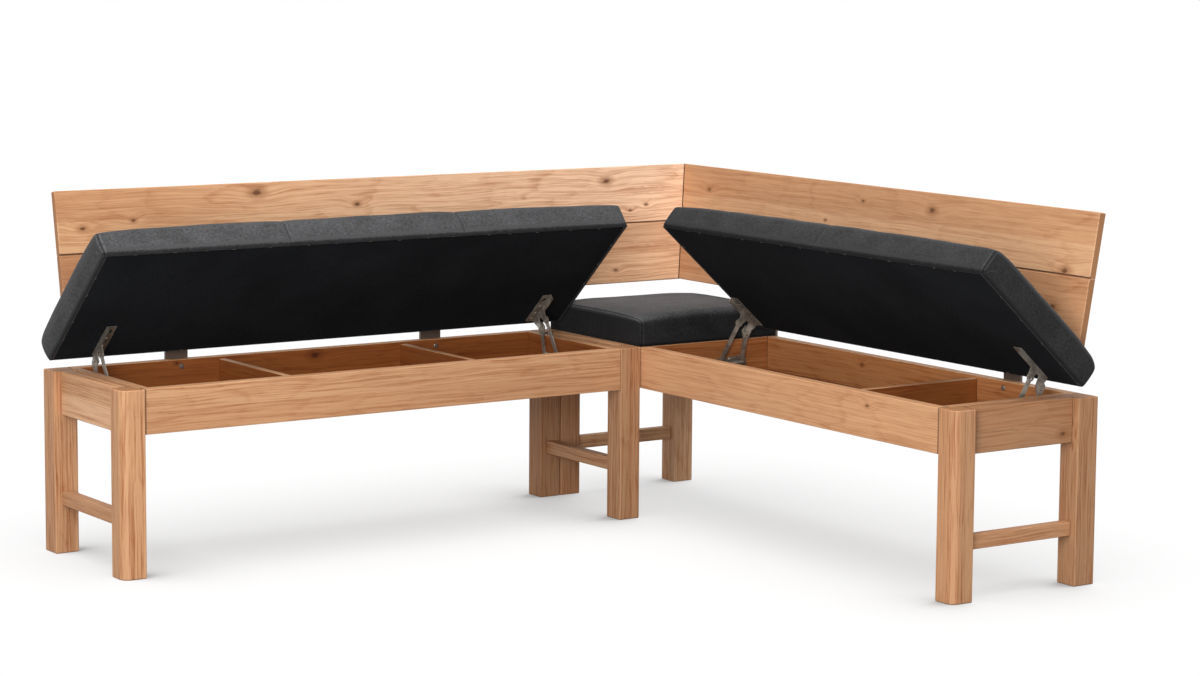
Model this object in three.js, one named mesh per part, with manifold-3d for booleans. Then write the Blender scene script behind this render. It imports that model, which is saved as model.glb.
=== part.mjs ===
// Corner storage bench: two oak wings with box frames under two tilting
// upholstered lids, a fixed corner seat, and a leaning back of two planks.
// Millimetres, +Z up. Each wing is drawn as it is seen from its own front:
// x runs along the wing, y from its front face to its rear face.
import * as THREE from 'three';
import { mergeVertices } from 'three/addons/utils/BufferGeometryUtils.js';
import Module from 'manifold-3d';

const wasm = await Module();
wasm.setup();

// Frame of a wing
const depth = 400;
const frameTop = 410;
const leftLength = 1340;
const rightReach = 1140;
const wingGap = 3;
const joint = 0.3;
const legSize = 56;
const legRound = 20;
const railHeight = 98;
const frontRail = 28;
const rearRail = 25;
const apron = 24;
const apronRecess = 18;
const stretcherTop = 140;
const stretcherHeight = 31;
const stretcher = 25;
const stretcherRecess = 16;

// Storage boxes
const boxEnd = 20;
const cornerPanel = 22;
const divider = 16;
const dividerDrop = 5;
const leftEndBox = 345;
const rightEndBox = 288;
const bottomPanel = 8;
const batten = 10;
const battenWidth = 18;

// Back planks and their steel supports
const backBottom = 516;
const backInset = 30;
const backLean = THREE.MathUtils.degToRad(10.3);
const backSlant = 291;
const plank = 19;
const lowerPlank = 147;
const plankJoint = 0.3;
const grooveChamfer = 2.2;
const leftBackEnd = 42;
const rightBackEnd = 34;
const support = 6;
const supportWidth = 56;
const supportFoot = 6;
const supportBend = 12;
const supportKick = 15;
const supportBelowTop = 24;
const leftSupports = [1013, 339];
const rightSupports = [-30, 862];

// Tilting lids
const lidThick = 76;
const lidDepth = 396;
const lidBoard = 16;
const lidBoardInset = 6;
const lidOverhang = 10;
const lidGap = 3;
const lidAngle = THREE.MathUtils.degToRad(42);
const lidInset = 54;
const lidRise = 22.5;

// Upholstery
const softRound = 20;
const crown = 5;
const drawnIn = 3;
const drawnHeight = 26;
const seamDepth = 2.5;
const seamReach = 5;
const halfTurnShare = Math.tan(Math.PI / 8);
const lidStations = [10, 6];
const leftPanels = 3;
const rightPanels = 2;

// Lifting hinges: places are measured forward from the rear face and down
// from the top of the frame, or in the lid from its rear lower edge
const rearPivot = { forward: 107.2, down: 48.2 };
const frontPivot = { forward: 177.3, down: 55.2 };
const rearEye = { forward: 30.1, down: 25.8 };
const frontEye = { forward: 60.8, down: 30.9 };
const plateThick = 2.5;
const armThick = 3;
const layerGap = 0.5;
const armWidth = 11;
const studRadius = 3.2;
const runningGap = 0.35;
const looseStud = 2.2;
const looseTravel = 4.2;
const eyeWall = 3;
const rivetHead = 2.2;
const rivetRadius = 4.8;
const earReach = 8;
const earHalf = 14;
const earHole = 2.2;
const earHoleShare = 1.6;
const bracketRear = 18;
const bracketLength = 105;
const bracketWidth = 22;
const bracketWeb = 13;
const bracketWall = 7;
const lugTopShare = 1.6;
const lugFootShare = 0.6;
const bracketScrewReaches = [11, 34, 62];
const baseMargin = 14;
const baseBelow = 20;
const baseAbove = 10;
const springRadius = 6;
const springPost = { forward: 8, down: 6 };
const springCap = 3;
const springEndShare = 0.7;

// Fasteners
const screwRadius = 2;
const screwHead = 4.2;
const screwHeadHeight = 1.6;
const screwLength = 15;
const slotLength = 18;
const slotHalf = 4.5;
const boltRadius = 3;
const boltHead = 6.5;
const boltHeadHeight = 3.6;
const nutHeight = 5;
const postBoltDrops = [16, 64];
const plankScrewLength = 18;
const plankScrewPlaces = [30, 110, 182, 244];
const plankScrewSpread = 32;
const wingBoltRadius = 4;
const wingBoltHead = 8;
const wingBoltDrop = 46;
const wingBoltInset = 86;
const connector = 4;
const connectorWidth = 30;
const holeGap = 0.3;
const bite = 0.3;
const nutShare = 1.8;
const headTopShare = 0.6;
const domeShare = 0.8;
const overrun = 1;

const rearRailFace = depth - rearRail;
const railBottom = frameTop - railHeight;
const boxFloor = railBottom + batten + bottomPanel;
const legInside = legSize + joint;

const rearward = new THREE.Vector3(0, 1, 0);
const alongWing = new THREE.Vector3(1, 0, 0);

function material(color, roughness, metalness = 0, flatShading = true) {
  return new THREE.MeshStandardMaterial({ color, roughness, metalness, flatShading });
}

const oak = material('#c5946c', 0.6);
const darkOak = material('#8a5a35', 0.7);
const cloth = material('#4c4b4d', 0.95, 0, false);
const lining = material('#17171a', 0.95);
const steel = material('#8b8780', 0.4, 0.9);
const brownSteel = material('#61534a', 0.5, 0.6);

// Closed solids

function solid(geometry) {
  const plain = geometry.clone();
  plain.deleteAttribute('normal');
  plain.deleteAttribute('uv');
  return mergeVertices(plain);
}

function toManifold(geometry) {
  const merged = solid(geometry);
  return new wasm.Manifold(new wasm.Mesh({
    numProp: 3,
    vertProperties: merged.attributes.position.array,
    triVerts: Uint32Array.from(merged.index.array),
  }));
}

function fromManifold(body) {
  const { vertProperties, triVerts } = body.getMesh();
  const geometry = new THREE.BufferGeometry();
  geometry.setAttribute('position', new THREE.BufferAttribute(vertProperties, 3));
  geometry.setIndex(new THREE.BufferAttribute(triVerts, 1));
  return geometry;
}

function cut(geometry, cutters) {
  let body = toManifold(geometry);
  for (const cutter of cutters) body = body.subtract(toManifold(cutter));
  return fromManifold(body);
}

function joined(geometries) {
  let body = toManifold(geometries[0]);
  for (const other of geometries.slice(1)) body = body.add(toManifold(other));
  return fromManifold(body);
}

function piece(name, geometry, material) {
  const shaped = solid(geometry);
  shaped.computeVertexNormals();
  const mesh = new THREE.Mesh(shaped, material);
  mesh.name = name;
  return mesh;
}

function board([x0, x1], [y0, y1], [z0, z1]) {
  const geometry = new THREE.BoxGeometry(x1 - x0, y1 - y0, z1 - z0);
  return geometry.translate((x0 + x1) / 2, (y0 + y1) / 2, (z0 + z1) / 2);
}

// A turned piece along +Y from the origin, from [radius, height] pairs
function turned(profile, sides) {
  return new THREE.LatheGeometry(profile.map(([r, h]) => new THREE.Vector2(r, h)), sides);
}

// Moves a piece made along +Y so that it starts at a place and runs along a direction
function aimed(geometry, place, direction) {
  const up = new THREE.Vector3(0, 1, 0);
  const turn = new THREE.Quaternion().setFromUnitVectors(up, direction.clone().normalize());
  return geometry.clone().applyQuaternion(turn).translate(place.x, place.y, place.z);
}

function rod(radius, length, place, direction, sides = 12) {
  const profile = [[0, 0], [radius, 0], [radius, length], [0, length]];
  return aimed(turned(profile, sides), place, direction);
}

// A profile in (y, z) carried along x
function alongX(shape, x0, x1) {
  const settings = { depth: x1 - x0, bevelEnabled: false, steps: 1, curveSegments: 8 };
  const geometry = new THREE.ExtrudeGeometry(shape, settings);
  const frame = new THREE.Matrix4().makeBasis(
    new THREE.Vector3(0, 1, 0), new THREE.Vector3(0, 0, 1), new THREE.Vector3(1, 0, 0));
  return geometry.applyMatrix4(frame).translate(x0, 0, 0);
}

function hole(x, y, radius, segments = 12) {
  const path = new THREE.Path();
  const corner = (i) => {
    const angle = i * 2 * Math.PI / segments;
    return [x + radius * Math.cos(angle), y + radius * Math.sin(angle)];
  };
  path.moveTo(...corner(0));
  for (let i = 1; i < segments; i++) path.lineTo(...corner(i));
  path.closePath();
  return path;
}

function polygon(points) {
  return new THREE.Shape(points.map(([x, y]) => new THREE.Vector2(x, y)));
}

// A band of even thickness to the left of a line of points, its corners mitred
function band(points, thickness) {
  const normals = points.slice(1).map((p, i) => {
    const along = p.clone().sub(points[i]).normalize();
    return new THREE.Vector2(-along.y, along.x);
  });
  const offset = points.map((p, i) => {
    const before = normals[Math.max(i - 1, 0)];
    const after = normals[Math.min(i, normals.length - 1)];
    const middle = before.clone().add(after).normalize();
    return p.clone().addScaledVector(middle, thickness / middle.dot(after));
  });
  return new THREE.Shape([...points, ...offset.reverse()]);
}

// Legs, rails, aprons and stretchers

// The wing's two ends, each with the direction that points from it into the wing
function wingEnds(wing) {
  return wing.ends.map(([end, x]) => ({ end, x, inward: x === wing.from ? 1 : -1 }));
}

// The stretch from one distance to another inside an end
function inside(side, near, far) {
  const a = side.x + side.inward * near;
  const b = side.x + side.inward * far;
  return [Math.min(a, b), Math.max(a, b)];
}

function roundedLeg(side) {
  const [x0, x1] = inside(side, 0, legSize);
  const shape = new THREE.Shape();
  const towards = side.inward > 0 ? x0 : x1;
  const away = side.inward > 0 ? x1 : x0;
  const centre = towards + side.inward * legRound;
  shape.moveTo(away, 0);
  shape.lineTo(away, legSize);
  shape.lineTo(towards, legSize);
  shape.lineTo(towards, legRound);
  shape.absarc(centre, legRound, legRound, side.inward > 0 ? Math.PI : 0,
    side.inward > 0 ? 1.5 * Math.PI : -0.5 * Math.PI, side.inward < 0);
  shape.closePath();
  return new THREE.ExtrudeGeometry(shape, { depth: frameTop, bevelEnabled: false, curveSegments: 8 });
}

function legs(wing) {
  const pieces = [];
  for (const side of wingEnds(wing)) {
    const rounded = side.end === 'outer';
    const along = inside(side, 0, legSize);
    const front = rounded ? roundedLeg(side) : board(along, [0, legSize], [0, frameTop]);
    const rear = board(along, [depth - legSize, depth], [0, frameTop]);
    pieces.push(piece(`${wing.name}_leg_${side.end}_front`, front, oak));
    pieces.push(piece(`${wing.name}_leg_${side.end}_rear`, rear, oak));
  }
  return pieces;
}

function postBoltPlaces(supports) {
  const placesAt = (x) => postBoltDrops.map((drop) => new THREE.Vector3(x, rearRailFace, frameTop - drop));
  return supports.flatMap(placesAt);
}

// Places on the front rail of the right wing, in that wing's frame
function wingBoltPlaces() {
  const insets = [wingBoltInset, depth - wingBoltInset];
  return insets.map((y) => new THREE.Vector3(-y, 0, frameTop - wingBoltDrop));
}

function rails(wing) {
  const along = [wing.from + legInside, wing.to - legInside];
  const heights = [railBottom, frameTop];
  const postHoles = postBoltPlaces(wing.supports).map((p) => boltHole(p, rearward, boltRadius, rearRail));
  const joins = wing.name === 'right' ? wingBoltPlaces() : [];
  const wingHoles = joins.map((p) => boltHole(p, rearward, wingBoltRadius, frontRail));
  return [
    piece(`${wing.name}_front_rail`, cut(board(along, [0, frontRail], heights), wingHoles), oak),
    piece(`${wing.name}_rear_rail`, cut(board(along, [rearRailFace, depth], heights), postHoles), oak),
  ];
}

// A hole through a thickness of wood for a bolt that enters it at a place
function boltHole(place, direction, radius, thickness) {
  const start = place.clone().addScaledVector(direction, -overrun);
  return rod(radius + holeGap, thickness + 2 * overrun, start, direction, 10);
}

function endPieces(wing) {
  const between = [legInside, depth - legInside];
  return wingEnds(wing).flatMap((side) => {
    const flush = wing.name === 'left' && side.end === 'corner';
    const recess = flush ? 0 : apronRecess;
    const blank = board(inside(side, recess, recess + apron), between, [railBottom, frameTop]);
    const joins = flush ? wingBoltPlaces().map((p) => new THREE.Vector3(side.x - apron, -p.x, p.z)) : [];
    const holes = joins.map((p) => boltHole(p, alongWing, wingBoltRadius, apron));
    const stretcherSpan = inside(side, stretcherRecess, stretcherRecess + stretcher);
    const stretcherHeights = [stretcherTop - stretcherHeight, stretcherTop];
    return [
      piece(`${wing.name}_${side.end}_apron`, cut(blank, holes), oak),
      piece(`${wing.name}_${side.end}_stretcher`, board(stretcherSpan, between, stretcherHeights), oak),
    ];
  });
}

// Storage boxes

// The faces of the box's end boards that look into the storage space
function boxFaces(wing) {
  return wingEnds(wing).map((side) => {
    const panel = wing.name === 'right' && side.end === 'corner';
    const x = panel ? 0 : side.x + side.inward * (legInside + boxEnd);
    return { end: side.end, x, inward: side.inward, thick: panel ? cornerPanel : boxEnd };
  });
}

function boxParts(wing) {
  const across = [frontRail + joint, rearRailFace - joint];
  const faces = boxFaces(wing);
  const span = [Math.min(...faces.map((f) => f.x)), Math.max(...faces.map((f) => f.x))];
  const pieces = faces.map((face) => {
    const blank = board(inside(face, -face.thick, 0), across, [railBottom, frameTop]);
    const pilots = basePlateScrews(face).map((s) => pilot(s, plateThick + screwLength));
    return piece(`${wing.name}_${face.end}_box_end`, cut(blank, pilots), oak);
  });
  for (const [name, centre] of wing.dividers) {
    pieces.push(piece(name, board([centre - divider / 2, centre + divider / 2], across,
      [boxFloor + joint, frameTop - dividerDrop]), darkOak));
  }
  const panel = bottom([span[0] + joint, span[1] - joint], across);
  pieces.push(piece(`${wing.name}_bottom_panel`, panel, darkOak));
  return pieces;
}

// The bottom panel with the two battens glued under it that are screwed to the rails
function bottom(along, [front, rear]) {
  const heights = [railBottom, boxFloor - bottomPanel / 2];
  return joined([
    board(along, [front, rear], [boxFloor - bottomPanel, boxFloor]),
    board(along, [front, front + battenWidth], heights),
    board(along, [rear - battenWidth, rear], heights),
  ]);
}

// Back planks and their steel supports

// A point on the back: up the slant from its lower edge and behind its front face
function onBack(up, behind) {
  const y = depth - backInset + up * Math.sin(backLean) + behind * Math.cos(backLean);
  const z = backBottom + up * Math.cos(backLean) - behind * Math.sin(backLean);
  return [y, z];
}

// Outline of a plank with the groove's chamfer on the edge that meets its neighbour
function plankShape(low, high, chamferAt) {
  const points = [];
  points.push(onBack(chamferAt === low ? low + grooveChamfer : low, 0));
  if (chamferAt === low) points.push(onBack(low, grooveChamfer));
  points.push(onBack(low, plank));
  points.push(onBack(high, plank));
  if (chamferAt === high) points.push(onBack(high, grooveChamfer));
  points.push(onBack(chamferAt === high ? high - grooveChamfer : high, 0));
  return polygon(points);
}

// The free end is square, the corner end is mitred at 45 degrees
function mitredPlank(wing, shape) {
  const geometry = alongX(shape, 0, 1);
  const position = geometry.attributes.position;
  for (let i = 0; i < position.count; i++) {
    const corner = wing.mitre(position.getY(i));
    const low = wing.backFree < corner ? wing.backFree : corner;
    const high = wing.backFree < corner ? corner : wing.backFree;
    position.setX(i, position.getX(i) > 0.5 ? high : low);
  }
  return geometry;
}

function plankScrews(supports) {
  const [dy, dz] = [-Math.cos(backLean), Math.sin(backLean)];
  const direction = new THREE.Vector3(0, dy, dz);
  return supports.flatMap((x) => plankScrewPlaces.map((up, i) => {
    const [y, z] = onBack(up, plank + joint + support);
    const sideways = (i % 2 === 0 ? -1 : 1) * plankScrewSpread / 2;
    return { up, place: new THREE.Vector3(x + sideways, y, z), direction };
  }));
}

function backPlanks(wing) {
  const middle = lowerPlank + plankJoint;
  const layout = [['lower', 0, lowerPlank, lowerPlank], ['upper', middle, backSlant, middle]];
  return layout.map(([name, low, high, chamferAt]) => {
    const held = plankScrews(wing.supports).filter((s) => s.up > low && s.up < high);
    const pilots = held.map((s) => pilot(s, plankScrewLength));
    const blank = mitredPlank(wing, plankShape(low, high, chamferAt));
    return piece(`${wing.name}_back_plank_${name}`, cut(blank, pilots), oak);
  });
}

function supportShape() {
  const straight = depth + joint;
  const [kickY, kickZ] = onBack(0, plank + joint);
  const [topY, topZ] = onBack(backSlant - supportBelowTop, plank + joint);
  const kick = new THREE.Vector2(kickY, kickZ);
  const bendStart = new THREE.Vector2(straight, kickZ - supportKick);
  const path = new THREE.Path();
  path.moveTo(straight, railBottom + supportFoot);
  path.lineTo(bendStart.x, bendStart.y - supportBend / 2);
  const towards = kick.clone().sub(bendStart).normalize().multiplyScalar(supportBend / 2);
  path.quadraticCurveTo(bendStart.x, bendStart.y, bendStart.x + towards.x, bendStart.y + towards.y);
  path.lineTo(kick.x, kick.y);
  path.lineTo(topY, topZ);
  const pointsOn = (curve) => curve.getPoints(curve.isLineCurve ? 1 : 4);
  const points = path.curves.flatMap((curve, i) => pointsOn(curve).slice(i ? 1 : 0));
  return band(points.reverse(), support);
}

function backSupports(wing) {
  return wing.supports.map((x, i) => {
    const strap = alongX(supportShape(), x - supportWidth / 2, x + supportWidth / 2);
    const bolts = postBoltPlaces([x]).map((p) => bolt(p, rearward, boltRadius, rearRail + joint + support));
    const screws = plankScrews([x]).map((s) => screw(s, plankScrewLength));
    const name = `${wing.name}_back_support_${wing.supportNames[i]}`;
    return piece(name, joined([strap, ...bolts, ...screws]), brownSteel);
  });
}

// Upholstery

// Grid lines along one side of a cushion: close at the rounded edges and at the seams
function stations(length, count, seams) {
  const edge = [0, softRound * (1 - halfTurnShare), softRound];
  const lines = [...edge, ...edge.map((e) => length - e)];
  for (const seam of seams) lines.push(seam - seamReach, seam, seam + seamReach);
  for (let i = 1; i < count; i++) {
    const at = softRound + (length - 2 * softRound) * i / count;
    if (seams.every((seam) => Math.abs(seam - at) > 2 * seamReach)) lines.push(at);
  }
  return lines.sort((a, b) => a - b);
}

// A cushion with rounded edges, a crowned top, sides drawn in to the underside,
// sewn cross seams, and a hollow below for its board
function cushion(length, width, height, seams) {
  const flatTop = height - crown;
  const xs = stations(length, lidStations[0], seams);
  const ys = stations(width, lidStations[1], []);
  const roundFrom = flatTop - softRound;
  const zs = [0, drawnHeight / 2, drawnHeight, roundFrom, flatTop - softRound * halfTurnShare, flatTop];
  const grid = new THREE.BoxGeometry(1, 1, 1, xs.length - 1, ys.length - 1, zs.length - 1);
  const position = grid.attributes.position;
  const at = (lines, share) => lines[Math.round((share + 0.5) * (lines.length - 1))];
  const point = new THREE.Vector3();
  const core = new THREE.Vector3();
  for (let i = 0; i < position.count; i++) {
    point.set(at(xs, position.getX(i)), at(ys, position.getY(i)), at(zs, position.getZ(i)));
    core.set(
      THREE.MathUtils.clamp(point.x, softRound, length - softRound),
      THREE.MathUtils.clamp(point.y, softRound, width - softRound),
      Math.min(point.z, roundFrom));
    const outward = point.clone().sub(core);
    const onSkin = outward.length() > softRound - joint;
    const nearest = Math.min(...seams.map((seam) => Math.abs(point.x - seam)), seamReach);
    if (onSkin) outward.setLength(softRound - seamDepth * (1 - nearest / seamReach));
    const under = Math.max(1 - point.z / drawnHeight, 0);
    point.copy(core).add(outward);
    const [u, v] = [2 * point.x / length - 1, 2 * point.y / width - 1];
    point.x -= Math.sign(u) * drawnIn * under ** 2 * Math.abs(u) ** 8;
    point.y -= Math.sign(v) * drawnIn * under ** 2 * Math.abs(v) ** 8;
    const raised = Math.max(point.z - roundFrom, 0) / softRound;
    point.z += crown * (1 - u ** 4) * (1 - v ** 2) * raised;
    position.setXYZ(i, point.x, point.y, point.z);
  }
  const hollow = board([lidBoardInset - joint, length - lidBoardInset + joint],
    [lidBoardInset - joint, width - lidBoardInset + joint], [-overrun, lidBoard + joint]);
  return cut(grid, [hollow]);
}

function boardUnder(length, width, pilots) {
  const along = [lidBoardInset, length - lidBoardInset];
  const across = [lidBoardInset, width - lidBoardInset];
  return cut(board(along, across, [0, lidBoard]), pilots);
}

function cornerSeat() {
  const seat = new THREE.Group();
  seat.position.set(wingGap, 0, frameTop + joint);
  seat.add(piece('corner_cushion', cushion(depth, depth, lidThick - joint, []), cloth));
  seat.add(piece('corner_seat_board', boardUnder(depth, depth, []), lining));
  return seat;
}

// Fasteners

// The hole that a screw of a length has cut for itself
function pilot({ place, direction }, length) {
  const start = place.clone().addScaledVector(direction, -overrun);
  return rod(screwRadius + holeGap, length + holeGap + overrun, start, direction, 8);
}

// A screw joined to the plate it holds: its head bites into the plate at the place
function screw({ place, direction }, length) {
  const profile = [[0, -screwHeadHeight], [screwHead * headTopShare, -screwHeadHeight], [screwHead, bite],
    [screwRadius, bite], [screwRadius, length], [0, length]];
  return aimed(turned(profile, 8), place, direction);
}

// A domed bolt whose shank goes through a grip and ends in its nut, which bites into the last plate
function bolt(place, direction, radius, grip) {
  const nut = nutShare * radius;
  const nutStart = grip - bite;
  const profile = [[0, -boltHeadHeight - joint],
    [boltHead * headTopShare, -boltHeadHeight * domeShare - joint],
    [boltHead, -joint], [radius, -joint], [radius, nutStart],
    [nut, nutStart], [nut, grip + nutHeight], [0, grip + nutHeight]];
  return aimed(turned(profile, 10), place, direction);
}

// Lifting hinges. A side is a box end's inner face: layers are counted from it inward

const baseLayer = [joint, joint + plateThick];
const rearArmLayer = [baseLayer[1] + layerGap, baseLayer[1] + layerGap + armThick];
const frontArmLayer = [rearArmLayer[1] + layerGap, rearArmLayer[1] + layerGap + armThick];
const bracketLayer = [frontArmLayer[1] + layerGap, frontArmLayer[1] + layerGap + plateThick];

function layer(shape, [near, far], face) {
  return alongX(shape, ...inside(face, near, far));
}

// A round stud across the layers
function stud(radius, [near, far], face, [y, z], sides = 12) {
  const [x0, x1] = inside(face, near, far);
  return rod(radius, x1 - x0, new THREE.Vector3(x0, y, z), new THREE.Vector3(1, 0, 0), sides);
}

const inWing = ({ forward, down }) => [depth - forward, frameTop - down];
const inLid = ({ forward, down }) => [-forward, -down];

function lidPoint({ forward, down }) {
  const y = depth - lidInset - forward * Math.cos(lidAngle) - down * Math.sin(lidAngle);
  const z = frameTop + lidRise + forward * Math.sin(lidAngle) - down * Math.cos(lidAngle);
  return [y, z];
}

// An arm drawn along +x from its lower pivot and turned to run to its upper pivot
function arm(outline, holes, from, to, layerSpan, face) {
  const length = Math.hypot(to[0] - from[0], to[1] - from[1]);
  const shape = outline(length);
  shape.holes = holes(length);
  const geometry = alongX(shape, ...inside(face, ...layerSpan));
  return geometry.rotateX(Math.atan2(to[1] - from[1], to[0] - from[0])).translate(0, ...from);
}

function rearArm(face) {
  const half = armWidth / 2;
  const outline = (length) => {
    const shape = new THREE.Shape();
    shape.moveTo(0, -half);
    shape.lineTo(length - 2 * earHalf, -half);
    shape.lineTo(length - earReach / 2, -earHalf);
    shape.lineTo(length + earReach, -half);
    shape.lineTo(length + earReach, half);
    shape.lineTo(length - earReach / 2, earHalf);
    shape.lineTo(length - 2 * earHalf, half);
    shape.lineTo(0, half);
    shape.absarc(0, 0, half, Math.PI / 2, Math.PI * 1.5, false);
    return shape;
  };
  const holes = (length) => [
    hole(0, 0, studRadius + runningGap),
    hole(length, 0, studRadius + runningGap),
    hole(length - earHalf, -half / 2, earHole, 8),
    hole(length - earHoleShare * earHalf, 0, earHole, 8),
  ];
  return arm(outline, holes, inWing(rearPivot), lidPoint(rearEye), rearArmLayer, face);
}

// The front arm's upper eye is wide: its stud wanders in it while the lid travels
function frontArm(face) {
  const half = armWidth / 2;
  const eye = looseStud + looseTravel + runningGap;
  const ring = eye + eyeWall;
  const outline = (length) => {
    const shape = new THREE.Shape();
    const start = Math.asin(half / ring);
    shape.moveTo(0, -half);
    shape.lineTo(length - ring * Math.cos(start), -half);
    shape.absarc(length, 0, ring, Math.PI + start, Math.PI - start + 2 * Math.PI, false);
    shape.lineTo(0, half);
    shape.absarc(0, 0, half, Math.PI / 2, Math.PI * 1.5, false);
    return shape;
  };
  const holes = (length) => [hole(0, 0, studRadius + runningGap), hole(length, 0, eye, 16)];
  return arm(outline, holes, inWing(frontPivot), lidPoint(frontEye), frontArmLayer, face);
}

// Screws that hold a base plate to the box end
function basePlateScrews(face) {
  const [rearY, rearZ] = inWing(rearPivot);
  const [frontY, frontZ] = inWing(frontPivot);
  const low = Math.min(rearZ, frontZ) - baseBelow + baseMargin / 2;
  const places = [
    [rearY + baseMargin / 2, low],
    [(rearY + frontY) / 2, (rearZ + frontZ) / 2 + baseAbove / 2],
    [frontY - baseMargin / 2, low],
  ];
  return places.map(([y, z]) => ({
    place: new THREE.Vector3(face.x + face.inward * baseLayer[1], y, z),
    direction: new THREE.Vector3(-face.inward, 0, 0),
  }));
}

function basePlate(face) {
  const [rearY, rearZ] = inWing(rearPivot);
  const [frontY, frontZ] = inWing(frontPivot);
  const low = Math.min(rearZ, frontZ) - baseBelow;
  const shape = polygon([
    [frontY - baseMargin, low], [rearY + baseMargin, low],
    [rearY + baseMargin, rearZ], [rearY + baseMargin / 2, rearZ + baseAbove],
    [frontY - baseMargin / 2, frontZ + baseAbove], [frontY - baseMargin, frontZ],
  ]);
  const within = baseLayer[1] - plateThick / 2;
  const headStart = frontArmLayer[1] + layerGap / 2;
  return joined([
    layer(shape, baseLayer, face),
    stud(studRadius, [within, rearArmLayer[1] + runningGap / 2], face, [rearY, rearZ]),
    stud(studRadius, [within, frontArmLayer[1] + layerGap], face, [frontY, frontZ]),
    stud(rivetRadius, [within, frontArmLayer[0] - layerGap / 2], face, [frontY, frontZ]),
    stud(rivetRadius, [headStart, headStart + rivetHead], face, [frontY, frontZ]),
    springHousing(face, within),
    ...basePlateScrews(face).map((s) => screw(s, plateThick + screwLength)),
  ]);
}

// The lifting spring's housing lies over both arms, from the front pivot to a post
// of its own before the rear pivot
function springHousing(face, within) {
  const [frontY, frontZ] = inWing(frontPivot);
  const [rearY, rearZ] = inWing(rearPivot);
  const post = [rearY - springPost.forward, rearZ - springPost.down];
  const level = frontArmLayer[1] + layerGap + springRadius;
  const along = new THREE.Vector3(0, post[0] - frontY, post[1] - frontZ);
  const length = along.length() + 2 * springCap;
  const slim = springRadius * springEndShare;
  const profile = [[0, 0], [slim, 0], [slim, springCap], [springRadius, 2 * springCap],
    [springRadius, length - 2 * springCap], [slim, length - springCap], [slim, length], [0, length]];
  const start = new THREE.Vector3(face.x + face.inward * level, frontY, frontZ)
    .addScaledVector(along.clone().normalize(), -springCap);
  return joined([
    aimed(turned(profile, 12), start, along),
    stud(studRadius, [within, level], face, post),
    stud(studRadius, [within, level], face, [frontY, frontZ]),
  ]);
}

// The bracket's screw places under the lid, in the lid's frame
function bracketScrews(face) {
  const across = face.x + face.inward * (bracketLayer[1] + bracketWidth / 2);
  return bracketScrewReaches.map((reach) => ({
    place: new THREE.Vector3(across, -bracketRear - reach, -joint - plateThick),
    direction: new THREE.Vector3(0, 0, 1),
  }));
}

// A long hole along y
function slot(x, y) {
  const reach = slotLength / 2;
  return new THREE.Path(polygon([
    [x - slotHalf, y - reach + slotHalf], [x, y - reach], [x + slotHalf, y - reach + slotHalf],
    [x + slotHalf, y + reach - slotHalf], [x, y + reach], [x - slotHalf, y + reach - slotHalf],
  ]).getPoints());
}

function bracket(face) {
  const rear = -bracketRear;
  const front = -bracketRear - bracketLength;
  const [rearY, rearZ] = inLid(rearEye);
  const [frontY, frontZ] = inLid(frontEye);
  const webEdge = -joint - bracketWeb;
  // A lug hangs from the web round a pivot
  const lug = (y, z) => [
    [y + lugTopShare * bracketWall, webEdge], [y + lugFootShare * bracketWall, z - bracketWall],
    [y - lugFootShare * bracketWall, z - bracketWall], [y - lugTopShare * bracketWall, webEdge],
  ];
  const side = polygon([
    [rear, -joint], [rear, webEdge], ...lug(rearY, rearZ), ...lug(frontY, frontZ),
    [front, webEdge], [front, -joint],
  ]);
  const [x0, x1] = inside(face, bracketLayer[0], bracketLayer[1] + bracketWidth);
  const flange = polygon([[x0, front], [x1, front], [x1, rear], [x0, rear]]);
  flange.holes = [slot(bracketScrews(face)[0].place.x, front + slotLength)];
  const plate = new THREE.ExtrudeGeometry(flange, { depth: plateThick, bevelEnabled: false, steps: 1 });
  const within = bracketLayer[1] - plateThick / 2;
  const headEnd = rearArmLayer[0] - layerGap / 2;
  return joined([
    plate.translate(0, 0, -joint - plateThick),
    layer(side, bracketLayer, face),
    stud(studRadius, [rearArmLayer[0] - layerGap, within], face, [rearY, rearZ]),
    stud(rivetRadius, [headEnd - rivetHead, headEnd], face, [rearY, rearZ]),
    stud(looseStud, [frontArmLayer[0] - runningGap / 2, within], face, [frontY, frontZ], 10),
    ...bracketScrews(face).map((s) => screw(s, screwLength)),
  ]);
}

// A lid with its cushion, board, hinge brackets and screws, turned up to its open rest
function lid(wing) {
  const group = new THREE.Group();
  group.position.set(0, depth - lidInset, frameTop + lidRise);
  group.rotation.x = -lidAngle;
  const [x0, x1] = wing.lidSpan;
  const length = x1 - x0;
  const seams = Array.from({ length: wing.panels - 1 }, (_, i) => length * (i + 1) / wing.panels);
  const faces = boxFaces(wing);
  const pilots = faces.flatMap(bracketScrews).map(({ place, direction }) => {
    const onBoard = new THREE.Vector3(place.x - x0, place.y + lidDepth, 0);
    return pilot({ place: onBoard, direction }, screwLength - plateThick - joint);
  });
  const cushionMesh = piece(`${wing.name}_lid_cushion`, cushion(length, lidDepth, lidThick, seams), cloth);
  const boardMesh = piece(`${wing.name}_lid_board`, boardUnder(length, lidDepth, pilots), lining);
  cushionMesh.position.set(x0, -lidDepth, 0);
  boardMesh.position.set(x0, -lidDepth, 0);
  group.add(cushionMesh, boardMesh);
  const named = (face) => `${wing.name}_hinge_bracket_${face.end}`;
  return group.add(...faces.map((face) => piece(named(face), bracket(face), steel)));
}

function hinges(wing) {
  return boxFaces(wing).flatMap((face) => [
    piece(`${wing.name}_hinge_base_${face.end}`, basePlate(face), steel),
    piece(`${wing.name}_hinge_rear_arm_${face.end}`, rearArm(face), steel),
    piece(`${wing.name}_hinge_front_arm_${face.end}`, frontArm(face), steel),
  ]);
}

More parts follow.
